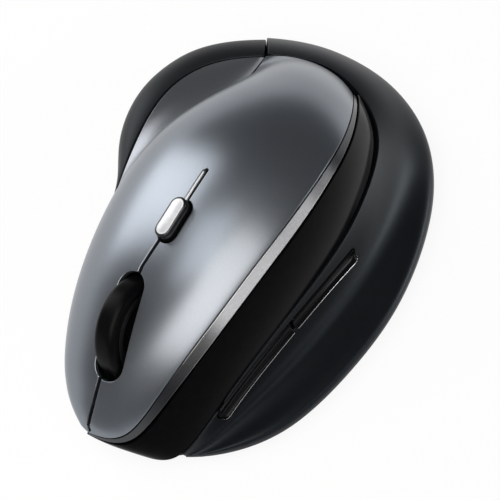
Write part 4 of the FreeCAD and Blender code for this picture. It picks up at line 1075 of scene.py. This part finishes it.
def lamp(name, place, size, power, color=(1, 1, 1)):
    """A soft lamp that faces the mouse and that the camera doesn't see."""
    light = bpy.data.lights.new(name, "AREA")
    light.shape = "RECTANGLE"
    light.size, light.size_y = size
    light.energy = power
    light.color = color
    holder = bpy.data.objects.new(name, light)
    bpy.context.scene.collection.objects.link(holder)
    holder.location = place
    target = Vector((0, 0, 0.02))
    holder.rotation_euler = (target - Vector(place)).to_track_quat("-Z", "Y").to_euler()
    holder.visible_camera = False


def either(tree, first, second):
    """The larger of two outputs."""
    larger = add_node(tree, "ShaderNodeMath", operation="MAXIMUM")
    tree.links.new(first, larger.inputs[0])
    tree.links.new(second, larger.inputs[1])
    return larger.outputs["Value"]


def pale_floor():
    """A plain pale floor that also glows to the camera, to mirrors and through glass."""
    bpy.ops.mesh.primitive_plane_add(size=6.0, location=(0, 0, 0))
    floor = bpy.context.object
    floor.name = "floor"
    material, tree, surface = shader("pale_floor")
    tint = ramp(tree, speckled(tree, 3.0), (0.90, 0.90, 0.90), (0.92, 0.92, 0.92))
    tree.links.new(tint, surface.inputs["Base Color"])
    surface.inputs["Roughness"].default_value = 0.9
    glow = add_node(tree, "ShaderNodeEmission")
    glow.inputs["Strength"].default_value = 1.0
    seen = add_node(tree, "ShaderNodeLightPath").outputs
    mirrored = either(tree, seen["Is Camera Ray"], seen["Is Glossy Ray"])
    share = add_node(tree, "ShaderNodeMath", operation="MULTIPLY")
    share.inputs[1].default_value = 0.9
    tree.links.new(either(tree, mirrored, seen["Is Transmission Ray"]), share.inputs[0])
    mix = add_node(tree, "ShaderNodeMixShader")
    tree.links.new(share.outputs["Value"], mix.inputs["Fac"])
    tree.links.new(surface.outputs["BSDF"], mix.inputs[1])
    tree.links.new(glow.outputs["Emission"], mix.inputs[2])
    tree.links.new(mix.outputs["Shader"], tree.nodes["Material Output"].inputs["Surface"])
    assign(material, floor)


def studio_world():
    """A dim room above the horizon and the pale floor's brightness below it."""
    world = bpy.data.worlds.new("studio")
    bpy.context.scene.world = world
    world.use_nodes = True
    sky = world.node_tree
    room = sky.nodes["Background"]
    heading = add_node(sky, "ShaderNodeTexCoord")
    upward = add_node(sky, "ShaderNodeSeparateXYZ")
    fade = add_node(sky, "ShaderNodeMapRange")
    fade.inputs["From Min"].default_value = 0.0
    fade.inputs["From Max"].default_value = 0.05
    fade.inputs["To Min"].default_value = 0.9
    fade.inputs["To Max"].default_value = 0.08
    room.inputs["Color"].default_value = (0.93, 0.96, 1.0, 1)
    sky.links.new(heading.outputs["Generated"], upward.inputs["Vector"])
    sky.links.new(upward.outputs["Z"], fade.inputs["Value"])
    sky.links.new(fade.outputs["Result"], room.inputs["Strength"])


def photo_camera():
    """The photo's viewing angle: 31 degrees to the thumb side and 60 degrees above the desk."""
    data = bpy.data.cameras.new("camera")
    data.sensor_width = 36.0
    data.lens = 4.3 * data.sensor_width
    data.clip_start = 0.01
    camera = bpy.data.objects.new("camera", data)
    bpy.context.scene.collection.objects.link(camera)
    aim = Vector(shifted((7.0, -6.0, 20.0)) * to_metres)
    distance = 0.5
    azimuth = math.radians(31.0)
    elevation = math.radians(60.0)
    away = Vector((math.sin(azimuth) * math.cos(elevation), -math.cos(azimuth) * math.cos(elevation),
                   math.sin(elevation)))
    camera.location = aim + away * distance
    camera.rotation_euler = (-away).to_track_quat("-Z", "Y").to_euler()
    bpy.context.scene.camera = camera
    bpy.context.scene.view_settings.view_transform = "Standard"


pale_floor()
studio_world()
lamp("overhead", (-0.05, -0.42, 0.80), (0.78, 0.95), 8.5, (1.0, 0.955, 0.90))
lamp("upper_left", (-0.58, -0.10, 0.81), (0.40, 0.40), 1.3)
lamp("tall_left", (-0.92, 0.18, 0.29), (0.42, 0.60), 3.0)
lamp("bevel_strip", (0.74, -0.06, 0.50), (1.05, 0.14), 1.0)
lamp("rear_right", (0.72, 0.58, 0.14), (0.45, 0.24), 2.2)
photo_camera()
